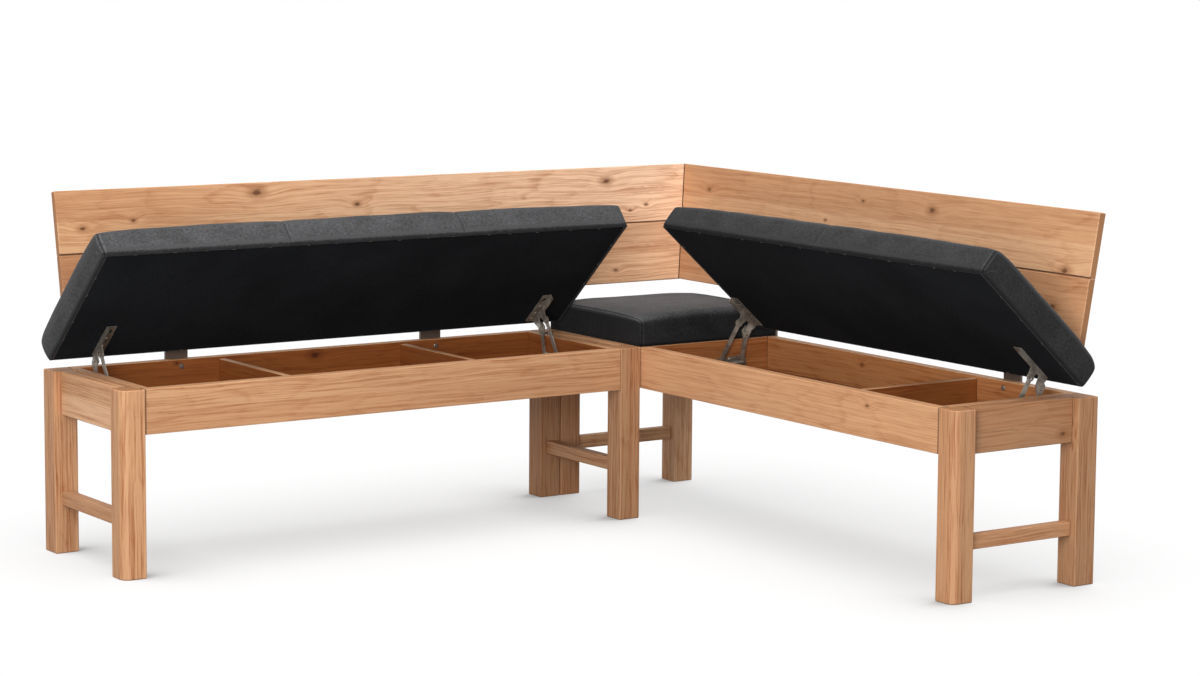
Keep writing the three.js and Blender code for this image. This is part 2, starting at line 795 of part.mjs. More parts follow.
// A steel plate on the left wing's corner apron whose two bolts reach through
// both frames and draw the wings together
function wingConnector() {
  const places = wingBoltPlaces().map((p) => new THREE.Vector3(-apron - joint - connector, -p.x, p.z));
  const rows = places.map((p) => p.y);
  const level = frameTop - wingBoltDrop;
  const plate = board([-apron - joint - connector, -apron - joint],
    [Math.min(...rows) - connectorWidth / 2, Math.max(...rows) + connectorWidth / 2],
    [level - connectorWidth / 2, level + connectorWidth / 2]);
  const shank = connector + joint + apron + wingGap + frontRail + joint;
  const profile = [[0, 0], [wingBoltRadius, 0], [wingBoltRadius, shank], [wingBoltHead, shank],
    [wingBoltHead, shank + nutHeight], [0, shank + nutHeight]];
  const bolts = places.map((p) => aimed(turned(profile, 10), p, alongWing));
  return piece('wing_connector', joined([plate, ...bolts]), steel);
}

// Assembly

const leftFaces = [-leftLength + legInside + boxEnd, -legInside - boxEnd];
const leftWing = {
  name: 'left',
  from: -leftLength,
  to: 0,
  ends: [['outer', -leftLength], ['corner', 0]],
  dividers: [
    ['left_divider_outer', leftFaces[0] + leftEndBox + divider / 2],
    ['left_divider_inner', leftFaces[1] - leftEndBox - divider / 2],
  ],
  supports: leftSupports.map((x) => -x),
  supportNames: ['outer', 'corner'],
  backFree: -leftLength + leftBackEnd,
  mitre: (y) => y + wingGap - joint,
  lidSpan: [-leftLength - lidOverhang, -lidGap],
  panels: leftPanels,
};
const rightWing = {
  name: 'right',
  from: -depth,
  to: rightReach,
  ends: [['corner', -depth], ['outer', rightReach]],
  dividers: [['right_divider', rightReach - legInside - boxEnd - rightEndBox - divider / 2]],
  supports: rightSupports,
  supportNames: ['corner', 'outer'],
  backFree: rightReach - rightBackEnd,
  mitre: (y) => -y + joint,
  lidSpan: [lidGap, rightReach + lidOverhang],
  panels: rightPanels,
};

function wingGroup(wing) {
  const group = new THREE.Group();
  group.add(...legs(wing), ...rails(wing), ...endPieces(wing), ...boxParts(wing));
  group.add(...backPlanks(wing), ...backSupports(wing), ...hinges(wing), lid(wing));
  return group;
}

const left = wingGroup(leftWing);
const right = wingGroup(rightWing);
right.rotation.z = -Math.PI / 2;
right.position.set(wingGap, 0, 0);

const bench = new THREE.Group();
bench.add(left, right, cornerSeat(), wingConnector());

// The origin is the middle of the bench's bounding box, on the floor
const bounds = new THREE.Box3().setFromObject(bench, true);
const middle = bounds.getCenter(new THREE.Vector3());
bench.position.set(-middle.x, -middle.y, -bounds.min.z);

export default bench;
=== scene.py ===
"""Looks of a corner storage bench: oiled wild oak, grey upholstery, black lining and steel fittings.

Each wing is worked out in its own frame, as it is seen from its front: along it, from its front face
to its rear face, and up. A wing is then turned into the bench's frame. Lengths are metres.
"""

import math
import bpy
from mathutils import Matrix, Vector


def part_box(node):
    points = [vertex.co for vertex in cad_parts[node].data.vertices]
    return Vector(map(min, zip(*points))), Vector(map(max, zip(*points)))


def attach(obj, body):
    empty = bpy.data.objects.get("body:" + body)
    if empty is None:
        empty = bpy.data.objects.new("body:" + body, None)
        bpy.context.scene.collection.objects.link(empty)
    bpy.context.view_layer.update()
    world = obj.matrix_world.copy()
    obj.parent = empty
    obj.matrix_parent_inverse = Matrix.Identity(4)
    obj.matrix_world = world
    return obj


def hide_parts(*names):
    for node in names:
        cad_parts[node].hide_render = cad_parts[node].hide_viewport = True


bl_info = {
    "name": "Corner Storage Bench",
    "version": (1, 0, 0),
    "blender": (4, 5, 0),
    "location": "View3D > Sidebar > Bench",
    "description": "Makes the surfaces of an oak corner storage bench with upholstered lids",
    "category": "Add Mesh",
}

import bmesh
import bpy
import numpy as np
from bpy.props import FloatProperty, FloatVectorProperty, PointerProperty
from mathutils import Matrix, Vector

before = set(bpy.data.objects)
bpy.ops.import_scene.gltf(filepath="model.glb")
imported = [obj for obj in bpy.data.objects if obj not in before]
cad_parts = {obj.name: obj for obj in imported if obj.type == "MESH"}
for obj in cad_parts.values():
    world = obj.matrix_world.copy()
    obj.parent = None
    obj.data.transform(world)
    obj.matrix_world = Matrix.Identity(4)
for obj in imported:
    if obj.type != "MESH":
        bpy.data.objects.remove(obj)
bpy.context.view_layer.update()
MM = 0.001

# The bench's own frame: the corner where the two wings' front faces meet
CORNER = (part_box("left_leg_corner_front")[1].x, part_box("left_leg_corner_front")[0].y)
WING_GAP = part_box("right_leg_corner_front")[0].x - CORNER[0]
WING_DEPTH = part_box("left_leg_corner_rear")[1].y - CORNER[1]
RAIL_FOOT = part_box("left_front_rail")[0].z
FRAME_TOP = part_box("left_front_rail")[1].z
LEFT_LENGTH = CORNER[0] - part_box("left_leg_outer_front")[0].x
RIGHT_REACH = CORNER[1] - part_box("right_leg_outer_front")[0].y


def linear(code):
    """An sRGB hex colour as linear red, green, blue and alpha."""
    parts = [int(code[i : i + 2], 16) / 255 for i in (1, 3, 5)]
    return tuple(c / 12.92 if c <= 0.04045 else ((c + 0.055) / 1.055) ** 2.4 for c in parts) + (1.0,)


def colour(name, description, code):
    """A colour that a user can change."""
    return FloatVectorProperty(
        name=name, description=description, default=linear(code), size=4, min=0, max=1, subtype="COLOR"
    )


def length(name, description, default):
    """A length that a user can change, in metres."""
    return FloatProperty(name=name, description=description, default=default, min=0, unit="LENGTH")


class BenchTimber(bpy.types.PropertyGroup):
    """Sizes and colours of the oak."""

    ease: length("Eased edge", "Radius of the sanded edges of rails and boards", 1.8 * MM)
    leg_ease: length("Leg edge", "Radius of the sanded edges of the legs", 2.6 * MM)
    leg_round: length("Rounded leg", "Radius of the outer front edge of the end legs", 20 * MM)
    stave: length("Stave width", "Width of the strips that rails are glued up from", 49 * MM)
    plank_stave: length("Plank stave width", "Width of the strips that planks are glued up from", 72 * MM)
    leg_stave: length("Leg stave width", "Width of the strips that legs are glued up from", 28 * MM)
    ring: length("Ring spacing", "Spacing of the year rings in the log", 9.0 * MM)
    light: colour("Light oak", "Colour of the early wood", "#dbae84")
    dark: colour("Dark oak", "Colour of the late wood", "#9f6037")
    warm: colour("Warm staves", "Colour of the pinker staves", "#bf8359")
    # Painted highlight: a pale haze laid over the brightest lit pieces, as strong light whitens them
    pale: colour("Pale staves", "Colour of the staves from the sapwood's side of the log", "#eccbae")
    # Painted shade: the next two colours tint the oak in the boxes and under the pieces, the lighter one on
    # the better lit sides
    inside: colour("Oak in the boxes", "Tone laid over the oiled oak inside the storage boxes", "#b58a5c")
    box_shade_lit: colour("Lighter oak in the boxes", "Tone over the better lit sides of the boxes", "#d7b895")
    knot: colour("Knot", "Colour of the knots' heart", "#4f2d1a")
    halo: colour("Knot rim", "Colour of the wood round a knot", "#94603a")
    end: colour("End grain", "Colour of the cut ends", "#a2734d")


class BenchUpholstery(bpy.types.PropertyGroup):
    """Sizes and colours of the pads."""

    pad: length("Pad height", "Height of a seat pad at the ends of its edges", 72 * MM)
    fullness: length("Fullness", "Rise of the filling from a pad's ends to its middle", 5 * MM)
    crown: length("Crown", "Rise of a pad's top over its edges", 4 * MM)
    top_round: length("Top radius", "Radius of a pad's upper front edge", 19 * MM)
    back_round: length("Rear radius", "Radius of a pad's upper rear edge", 31 * MM)
    end_round: length("End radius", "Radius of the sewn edges of a pad's end panels", 7 * MM)
    rim: length("Rim", "Width of the cloth turned in under the board", 5 * MM)
    board: length("Board", "Thickness of the board in a pad", 16 * MM)
    thread: length("Thread spacing", "Spacing of the weave, coarser than real so that it shows", 2.6 * MM)
    cloth: colour("Cloth", "Colour of the upholstery cloth", "#2f2f30")
    fleck: colour("Flecks", "Colour of the lighter threads", "#474748")
    sheen: colour("Sheen", "Colour of the cloth's sheen", "#b9b8ba")
    lining: colour("Lining", "Colour of the dust cloth under the boards", "#1b1d20")


class BenchMetal(bpy.types.PropertyGroup):
    """Colours of the steel fittings."""

    zinc: colour("Zinc", "Colour of the plated hinge steel", "#a8a095")
    zinc_dark: colour("Dull zinc", "Colour of the plating where it has dulled", "#5f574d")
    paint: colour("Bar paint", "Colour of the painted back bars", "#6f6157")


class BenchStudio(bpy.types.PropertyGroup):
    """The stage round the bench."""

    floor: colour("Floor", "Colour of the floor", "#979797")
    floor_size: length("Floor size", "Side of the square floor", 60.0)
    lens: FloatProperty(
        name="Lens", description="Focal length on a 36 mm sensor", default=92.514, unit="CAMERA"
    )


# Places and shapes

# The part of an eased edge's quarter circle that is drawn, in degrees, and its steps
EDGE_ARC = (12, 90)
EDGE_STEPS = 3
CORNER_STEPS = 4
ROUND_STEPS = 8
# The least cosine between a face's normal and a way that it is said to look
LOOKS_THAT_WAY = 0.9


def to_wing(wing, points):
    """Points in a wing's frame as points of the bench.

    The left wing is only moved to the corner; the right wing is also turned a quarter turn clockwise.
    """
    x, y, z = points[..., 0], points[..., 1], points[..., 2]
    if wing == "left":
        return np.stack([x + CORNER[0], y + CORNER[1], z], -1)
    return np.stack([y + WING_GAP + CORNER[0], CORNER[1] - x, z], -1)


def rounded_outline(size, radii, inset, steps):
    """Points counter-clockwise round a rectangle from (0, 0) to size.

    Each corner is a quarter circle round a centre one radius in from both sides. The inset comes off
    that radius, so outlines of one rectangle at several insets are parallel curves.
    """
    radii = np.array(radii, float)
    low = np.array([[0, 0], [1, 0], [1, 1], [0, 1]])
    centres = low * size + (1 - 2 * low) * radii[:, None]
    angles = np.radians(np.array([180, 270, 0, 90])[:, None] + np.linspace(0, 90, steps + 1))
    arcs = np.stack([np.cos(angles), np.sin(angles)], -1)
    return (centres[:, None] + (radii - inset)[:, None, None] * arcs).reshape(-1, 2)


def eased_block(size, radii, ease, steps=CORNER_STEPS):
    """The rings of an upright block: its rounded outline, drawn in by a quarter circle at both ends."""
    angles = np.radians(np.linspace(*EDGE_ARC, EDGE_STEPS + 1))
    near = ease * (1 - np.cos(angles))
    insets = ease * (1 - np.sin(angles))
    heights = [*near, *(size[2] - near[::-1])]
    outlines = [rounded_outline(size[:2], radii, inset, steps) for inset in (*insets, *insets[::-1])]
    return np.array([np.column_stack([o, np.full(len(o), h)]) for o, h in zip(outlines, heights)])


def tube_faces(rings, count):
    """Quads between neighbouring closed rings of a grid, their normals pointing out of the tube."""
    ring = np.arange(rings - 1)[:, None] * count
    here = np.arange(count)[None]
    after = (here + 1) % count
    return np.stack([ring + here, ring + after, ring + count + after, ring + count + here], -1).reshape(-1, 4)


def capped_tube(rings, count):
    """The faces of a tube of closed rings, and then a flat face on its first and on its last ring."""
    last = (rings - 1) * count
    return [*tube_faces(rings, count), np.arange(count)[::-1], np.arange(last, last + count)]


def new_piece(name, points, faces, material, attributes=None, smooth=False):
    """A mesh object at the origin from an array of points and lists of faces, with its attributes."""
    mesh = bpy.data.meshes.new(name)
    mesh.from_pydata(points.reshape(-1, 3).tolist(), [], [list(map(int, f)) for f in faces])
    mesh.update()
    for key, (kind, domain, values) in (attributes or {}).items():
        layer = mesh.attributes.new(key, kind, domain)
        field = "vector" if kind == "FLOAT_VECTOR" else "value"
        layer.data.foreach_set(field, np.ravel(values).astype(np.float32))
    mesh.polygons.foreach_set("use_smooth", np.full(len(mesh.polygons), smooth))
    mesh.materials.append(material)
    obj = bpy.data.objects.new(name, mesh)
    bpy.context.scene.collection.objects.link(obj)
    return obj


def close_doubles(obj, distance):
    """Merges the doubled points that a shape's closing lines leave."""
    build = bmesh.new()
    build.from_mesh(obj.data)
    bmesh.ops.remove_doubles(build, verts=build.verts, dist=distance)
    build.to_mesh(obj.data)
    build.free()


def mark_faces(obj, key, directions, mark):
    """Marks the faces that look one of several ways in an attribute of the faces; the others get a 0."""
    normals = np.empty(3 * len(obj.data.polygons), np.float32)
    obj.data.polygons.foreach_get("normal", normals)
    looks = normals.reshape(-1, 3) @ np.array(directions, np.float32).reshape(-1, 3).T
    marks = mark * (looks > LOOKS_THAT_WAY).any(axis=1).astype(np.float32)
    obj.data.attributes.new(key, "FLOAT", "FACE").data.foreach_set("value", marks)


# Oak

# How far a piece's seed moves it along and through the log
SEED_ALONG = 3.7
SEED_THROUGH = 0.31
REAR_RAIL = 25 * MM

# The leaning back: its lower front edge, its slant and the planks on it
BACK_BOTTOM = 516 * MM
BACK_INSET = 30 * MM
BACK_LEAN = math.radians(10.3)
BACK_SLANT = 291 * MM
PLANK_THICK = 19 * MM
LOWER_PLANK = 147 * MM
GROOVE = 0.3 * MM
CHAMFER = 3.2 * MM
MITRE_GAP = 0.3 * MM
MITRE_EASE = 1.4 * MM
LEFT_BACK_INSET = 42 * MM
RIGHT_BACK_INSET = 34 * MM


def timber_attributes(along, across, through, joint, stave, seed, tone):
    """The oak material's attributes: a place in the log, the stave width, a seed, tones and marked faces.

    The tone is how bright the first stave is, its step from each stave to the next one up, and how
    much brighter the piece gets for each metre along it, which paints light falling off along it. The
    last two faces are the cut ends, and joint marks the faces at a joint that painted shade darkens.
    """
    bright, step, slope = (*tone, 0.0, 0.0)[:3]
    grain = np.stack([along + SEED_ALONG * seed, across, through + SEED_THROUGH * seed], -1)
    ends = np.zeros(len(joint))
    ends[-2:] = 1.0
    return {
        "grain": ("FLOAT_VECTOR", "POINT", grain),
        "timber": ("FLOAT_VECTOR", "POINT", np.broadcast_to([stave, seed, step], grain.shape)),
        "tone": ("FLOAT", "POINT", bright + slope * (along - (along.min() + along.max()) / 2)),
        "end_grain": ("FLOAT", "FACE", ends),
        "joint": ("FLOAT", "FACE", joint),
    }


def beam(name, low, high, ease, stave, seed, material, leg, round_edge, tone):
    """A squared timber between two corners, its grain along its longest side, all its edges eased.

    round_edge gives the edge at the low corner of a leg a larger radius.
    """
    low, high = np.array(low), np.array(high)
    axis = int(np.argmax(high - low))
    order = [(axis + 1) % 3, (axis + 2) % 3, axis]
    size = (high - low)[order]
    radii = [max(round_edge, ease), ease, ease, ease]
    local = eased_block(size, radii, ease, ROUND_STEPS if round_edge else CORNER_STEPS)
    points = np.empty_like(local)
    points[..., order] = local + low[order]
    count = local.shape[1]
    faces = capped_tube(len(local), count)
    joint = np.zeros(len(faces))
    # Painted shade at the joints: the eased strips at both ends of a rail, board or panel
    if not leg:
        joint[: EDGE_STEPS * count] = 1.0
        joint[-2 - EDGE_STEPS * count : -2] = 1.0
    flat = local.reshape(-1, 3)
    wide = 0 if size[0] >= size[1] else 1
    attributes = timber_attributes(
        flat[:, 2], flat[:, wide], flat[:, 1 - wide], joint, stave, seed, tone
    )
    return new_piece(name, points, faces, material, attributes)


def on_back(up, behind):
    """How far back and how high a place is that lies up the back's slant and behind its face."""
    sine, cosine = math.sin(BACK_LEAN), math.cos(BACK_LEAN)
    return WING_DEPTH - BACK_INSET + up * sine + behind * cosine, BACK_BOTTOM + up * cosine - behind * sine


def plank(name, wing, free_end, low, high, chamfer_low, ease, stave, seed, material, tone):
    """A back plank: an outline of its section carried from its free end to its mitred end.

    The section is drawn up the slant and back from the plank's face, with a chamfer on the edge at
    the groove. Each point of the last ring runs on to the mitre, the plane between the two wings.
    """
    tall = high - low
    section = [(ease, 0), (tall - ease, 0), (tall, ease), (tall, PLANK_THICK), (0, PLANK_THICK), (0, ease)]
    if chamfer_low:
        section[0] = (CHAMFER, 0)
        section[5] = (0, CHAMFER)
    else:
        section[1] = (tall - CHAMFER, 0)
        section[2] = (tall, CHAMFER)
    section = np.array(section)
    count = len(section)
    inward = 1 if wing == "left" else -1
    face, _ = on_back(low + section[:, 0], section[:, 1])
    mitre = face + WING_GAP - MITRE_GAP if wing == "left" else MITRE_GAP - face
    towards = np.sign(np.array([tall, PLANK_THICK]) / 2 - section)
    rings = np.array([section + towards * shrink for shrink in (ease, 0, 0, MITRE_EASE / 2)])
    starts = [np.full(count, free_end), np.full(count, free_end + inward * ease)]
    along = np.array([*starts, mitre - inward * MITRE_EASE, mitre])
    across, behind = rings[..., 0], rings[..., 1]
    points = np.stack([along, *on_back(low + across, behind)], -1)
    faces = capped_tube(len(rings), count)
    if wing == "left":
        faces = [face[::-1] for face in faces]
    # Painted shade: the strip before the mitre and, on the upper plank, the chamfer over the groove
    joint = np.zeros(len(faces))
    joint[2 * count : 3 * count] = 1.0
    if chamfer_low:
        joint[[5, count + 5]] = 1.0
    attributes = timber_attributes(
        along.ravel(), across.ravel(), behind.ravel(), joint, stave, seed, tone
    )
    return new_piece(name, to_wing(wing, points), faces, material, attributes)


# Materials

WHITE = (1.0, 1.0, 1.0, 1.0)
# The range that most of a noise's values lie in
SPREAD = (0.3, 0.7)
# Each noise: how fine it is along each axis, for oak along, across and through the grain, in turns
# a metre; its detail and its roughness
NOISES = {
    "ring_warp": ((2.6, 13.0, 13.0), 2.0, 0.45),
    "fine_warp": ((11.0, 60.0, 60.0), 3.0, 0.6),
    "knot_edge": ((50.0, 150.0, 150.0), 3.0, 0.6),
    "meander": ((3.2, 10.0, 10.0), 2.0, 0.5),
    "fibre": ((8.0, 310.0, 310.0), 3.0, 0.65),
    "streak": ((1.9, 135.0, 135.0), 4.0, 0.62),
    "patch": ((1.6, 9.0, 9.0), 2.0, 0.5),
    "pore": ((34.0, 430.0, 430.0), 1.0, 0.5),
    "end_spots": ((260.0, 260.0, 260.0), 2.0, 0.5),
    "slub": ((110.0, 300.0, 60.0), 3.0, 0.7),
    "slub_across": ((300.0, 110.0, 60.0), 3.0, 0.7),
    "wear": ((14.0, 14.0, 14.0), 4.0, 0.65),
    "dapple": ((260.0, 260.0, 260.0), 2.0, 0.5),
    "dust_cloud": ((6.0, 6.0, 6.0), 2.0, 0.5),
    "dulled": ((38.0, 38.0, 38.0), 3.0, 0.6),
    "zinc_grit": ((1250.0, 1250.0, 1250.0), 2.0, 0.5),
    "paint_grit": ((1000.0, 1000.0, 1000.0), 2.0, 0.5),
}


def add_node(tree, kind, inputs=None, **settings):
    """A node with its settings, and each input set to a value or linked to a wire."""
    node = tree.nodes.new(kind)
    for key, value in settings.items():
        setattr(node, key, value)
    for key, value in (inputs or {}).items():
        if isinstance(value, Wire):
            tree.links.new(value.socket, node.inputs[key])
        else:
            node.inputs[key].default_value = value
    return node


class Wire:
    """What a node gives out. Sums and products of wires make the math nodes that work them out."""

    def __init__(self, node, output=0):
        self.tree = node.id_data
        self.socket = node.outputs[output]

    def next(self, kind, inputs, output=0, **settings):
        """What a new node in the same tree gives out."""
        return Wire(add_node(self.tree, kind, inputs, **settings), output)

    def math(self, operation, *others):
        """The result of one arithmetic step on this value."""
        return self.next("ShaderNodeMath", dict(enumerate((self, *others))), operation=operation)

    def vector(self, operation, other=(0.0, 0.0, 0.0), output=0):
        """The result of one step on this vector."""
        return self.next("ShaderNodeVectorMath", {0: self, 1: other}, output, operation=operation)

    def __add__(self, other):
        return self.math("ADD", other)

    def __sub__(self, other):
        return self.math("SUBTRACT", other)

    def __mul__(self, other):
        return self.math("MULTIPLY", other)

    def __truediv__(self, other):
        return self.math("DIVIDE", other)

    def parts(self):
        """The three parts of this vector."""
        split = add_node(self.tree, "ShaderNodeSeparateXYZ", {0: self})
        return [Wire(split, i) for i in range(3)]

    def remap(self, from_low, from_high, to_low, to_high, kind="SMOOTHSTEP"):
        """This value moved from one range to another and held to its ends."""
        places = {0: self, 1: from_low, 2: from_high, 3: to_low, 4: to_high}
        return self.next("ShaderNodeMapRange", places, interpolation_type=kind)

    def noise(self, name):
        """A named noise at this place, even from 0 to 1."""
        fineness, detail, roughness = NOISES[name]
        place = self.vector("MULTIPLY", fineness)
        inputs = {"Vector": place, "Scale": 1.0, "Detail": detail, "Roughness": roughness}
        return self.next("ShaderNodeTexNoise", inputs, "Fac")


def attribute(tree, name, output="Fac"):
    """A piece's attribute."""
    return Wire(add_node(tree, "ShaderNodeAttribute", attribute_name=name), output)


def object_place(tree):
    """A place in the piece's own frame, which is the bench's frame at rest."""
    return Wire(add_node(tree, "ShaderNodeTexCoord"), "Object")


def blend(share, first, second):
    """One colour laid over another by a share."""
    return share.next("ShaderNodeMix", {0: share, 6: first, 7: second}, 2, data_type="RGBA")


def shaded(paint, factor):
    """A colour made lighter or darker by a factor."""
    start = paint if isinstance(paint, Wire) else tuple(paint)[:3]
    return factor.next("ShaderNodeVectorMath", {0: start, "Scale": factor}, operation="SCALE")


def seen_rays(tree):
    """1 for the camera's own rays and those through gloss or glass, and 0 for other light."""
    path = add_node(tree, "ShaderNodeLightPath")
    camera, glossy, through = [Wire(path, f"Is {kind} Ray") for kind in ("Camera", "Glossy", "Transmission")]
    return camera.math("MAXIMUM", glossy).math("MAXIMUM", through)


def emptied_tree(owner):
    """The node tree of a material or a world, with nothing in it."""
    owner.use_nodes = True
    owner.node_tree.nodes.clear()
    return owner.node_tree


def start_material(name):
    """A new material and its empty tree."""
    material = bpy.data.materials.new(name)
    return material, emptied_tree(material)


def add_shader(tree, inputs):
    """The one shader of a material, with its inputs, and its output."""
    shader = add_node(tree, "ShaderNodeBsdfPrincipled", inputs)
    add_node(tree, "ShaderNodeOutputMaterial", {0: Wire(shader)})


def add_rough_shader(tree, paint, height, strength, depth, inputs):
    """A shader with a colour, with a relief from a height, its strength and its depth, and other inputs."""
    relief = height.next("ShaderNodeBump", {"Height": height, "Strength": strength, "Distance": depth})
    add_shader(tree, {"Base Color": paint, "Normal": relief, **inputs})


# Knots that the photo shows, by wing and face: their place along the wing and up that face, and the
# radius of the heart, in millimetres
KNOTS = {
    ("left", "back"): [
        (-796, 268, 5.5), (-1238, 204, 3.2), (-1113, 217, 2.4), (-535, 228, 3),
        (179, 256, 4.6), (294, 192, 1.6), (244, 180, 1.4), (184, 32, 2),
    ],
    ("right", "back"): [
        (-300, 234, 2.6), (309, 252, 2), (560, 250, 4.6), (1026, 157, 4.6), (1007, 76, 4.4), (180, 196, 1.8),
    ],
    ("right", "rail"): [(848, 71, 2)],
    ("right", "apron"): [(317, 21, 4.4)],
    ("left", "inner"): [(-668, 84, 5), (-1025, 90, 2)],
    ("right", "inner"): [(636, 37, 4), (365, 73, 2)],
}
# A knot's length over its width, and the most it can be away. In radii of its heart: the edge of the
# heart, the rim round it, the reach of the grain's turn round it, and how ragged it is. Then how far it
# pushes the rings and bends the fibres aside
KNOT_LONG = 1.7
FAR_AWAY = 99.0
KNOT_HEART = (0.5, 1.6)
KNOT_RIM = (0.6, 4.6)
KNOT_SWIRL = (0.0, 11.0)
KNOT_RAGGED = 2.4
KNOT_PUSH = 14 * MM
KNOT_BEND = 10 * MM

# The rings: how far noises push them, in rings, how many finer rings run in each, and where in a ring
# the late wood of both starts, is darkest and has ended
RING_WARP = 2.2
FINE_WARP = 0.7
FINE_RINGS = 3.0
LATE_START = 0.66
FINE_START = 0.45
DARKEST = 0.93
RING_END = 0.94
# How the late wood and the finer rings weaken from where a board cuts the rings steeply to where it
# runs flat along them
LATE_BY_STEEPNESS = (0.05, 0.5, 0.45, 1.0)
FINE_BY_STEEPNESS = (0.1, 0.6, 0.1, 0.55)
# The log's heart: its least place beside a stave and its spread, in staves; its least depth, its
# spread, how far that swings, and the radians of the swing for each metre and for each stave's chance
HEART_SIDE = -0.8
HEART_SIDE_SPREAD = 2.6
HEART_DEPTH = 28 * MM
HEART_DEPTH_SPREAD = 60 * MM
HEART_SWING = 24 * MM
SWING_RATE = 2.9
SWING_START = 6.3
# How far each stave is moved in the log, and how far its fibres wander
LOG_SHIFT = (9.0, 0.6, 4.0)
MEANDER = 20 * MM
# The share of dark oak in the wood: everywhere, in late wood, and more or less by fibres and streaks
BASE_SHARE = 0.17
LATE_SHARES = (0.2, 0.38)
FIBRE_SHARE = 0.35
STREAK_SHARE = 0.3
# How lively fibres and streaks are in a leg's narrow staves and in a plank's wide ones
LIVELY = (1.45, 0.82)
# Which tones are warm and which get a pale painted haze of light, and how much; how much of a
# stave's warmth is chance. Darker tones are warmer, as oak in shade looks; the brightest, lit ones
# are paled as light whitens them
WARM_BY_TONE = (0.75, 1.1, 0.4, 0.0)
PAINTED_HAZE_BY_TONE = (1.0, 1.3, 0.0, 0.8)
CHANCE_SHARE = 0.35
# What is laid over the wood: a knot's rim and its heart, the cut ends, and the spots in those
RIM_SHARE = 0.7
HEART_SHARE = 0.8
END_GRAIN_SHARE = 0.8
SPOTS = (0.35, 0.65, 0.0, 0.35)
# The pores: where their noise counts, how late wood brings them out, and how dark they are; how
# patchy the wood is; how much painted shade darkens a face at a joint
PORE_RANGE = (0.58, 0.68)
PORES_BY_LATE = (0.0, 0.6, 0.3, 1.0)
PORE_SHADE = 0.88
PATCHY = (0.95, 1.05)
JOINT_SHADE = -0.7
# The weave's and the flecks' shares in the cloth, the threads that are flecks, and how worn it is
WEAVE_SHARE = 0.06
FLECK_SHARE = 0.8
FLECK_RANGE = (0.38, 0.62)
WORN = (0.82, 1.16)
# The depths of the reliefs
OAK_RELIEF = 0.5 * MM
CLOTH_RELIEF = 0.7 * MM
LINING_RELIEF = 0.4 * MM
STEEL_RELIEF = 0.2 * MM


def knot_centre(wing, face, along, up):
    """A knot's place in the bench's frame."""
    along, up = along * MM, up * MM
    if face == "back":
        place = [along, *on_back(up, 0.0)]
    elif face == "apron":
        place = [CORNER[1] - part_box("right_outer_apron")[0].y, along, RAIL_FOOT + up]
    else:
        place = [along, 0.0 if face == "rail" else WING_DEPTH - REAR_RAIL, RAIL_FOOT + up]
    return to_wing(wing, np.array(place))


def knot_distance(tree):
    """How far a place is from the nearest listed knot, in radii of its heart, stretched along the grain."""
    place = object_place(tree)
    nearest = FAR_AWAY
    for (wing, face), knots in KNOTS.items():
        grain_is_x = (wing == "left") != (face == "apron")
        for along, up, radius in knots:
            across = 1.0 / (radius * MM)
            lengthwise = across / KNOT_LONG
            size = (lengthwise, across, across) if grain_is_x else (across, lengthwise, across)
            away = place.vector("SUBTRACT", knot_centre(wing, face, along, up))
            reach = away.vector("MULTIPLY", size).vector("LENGTH", output="Value")
            nearest = reach.math("MINIMUM", nearest)
    return nearest


def year_rings(log, side, depth, spacing):
    """Year rings where a board cuts the log: 0 in the early wood to 1 in the late wood, and their count.

    The rings are cylinders round the log's heart. The heart lies to the side of a stave and below it,
    and its depth swings slowly along the stave, which gives the long flames of sawn boards. Where the
    board runs flat along a ring the late wood is weaker, and finer rings run between the main ones.
    """
    reach = (side * side + depth * depth).math("SQRT")
    level = reach / spacing + log.noise("ring_warp") * RING_WARP + log.noise("fine_warp") * FINE_WARP
    steep = side.math("ABSOLUTE") / reach
    late = ring_line(level, LATE_START) * steep.remap(*LATE_BY_STEEPNESS)
    fine = ring_line(level * FINE_RINGS, FINE_START) * steep.remap(*FINE_BY_STEEPNESS)
    return late.math("MAXIMUM", fine), level


def ring_line(level, start):
    """The late wood of each ring: from its start it darkens slowly and then ends sharply."""
    ring = level.math("FRACT")
    return ring.remap(start, DARKEST, 0.0, 1.0) * ring.remap(RING_END, 1.0, 1.0, 0.0)


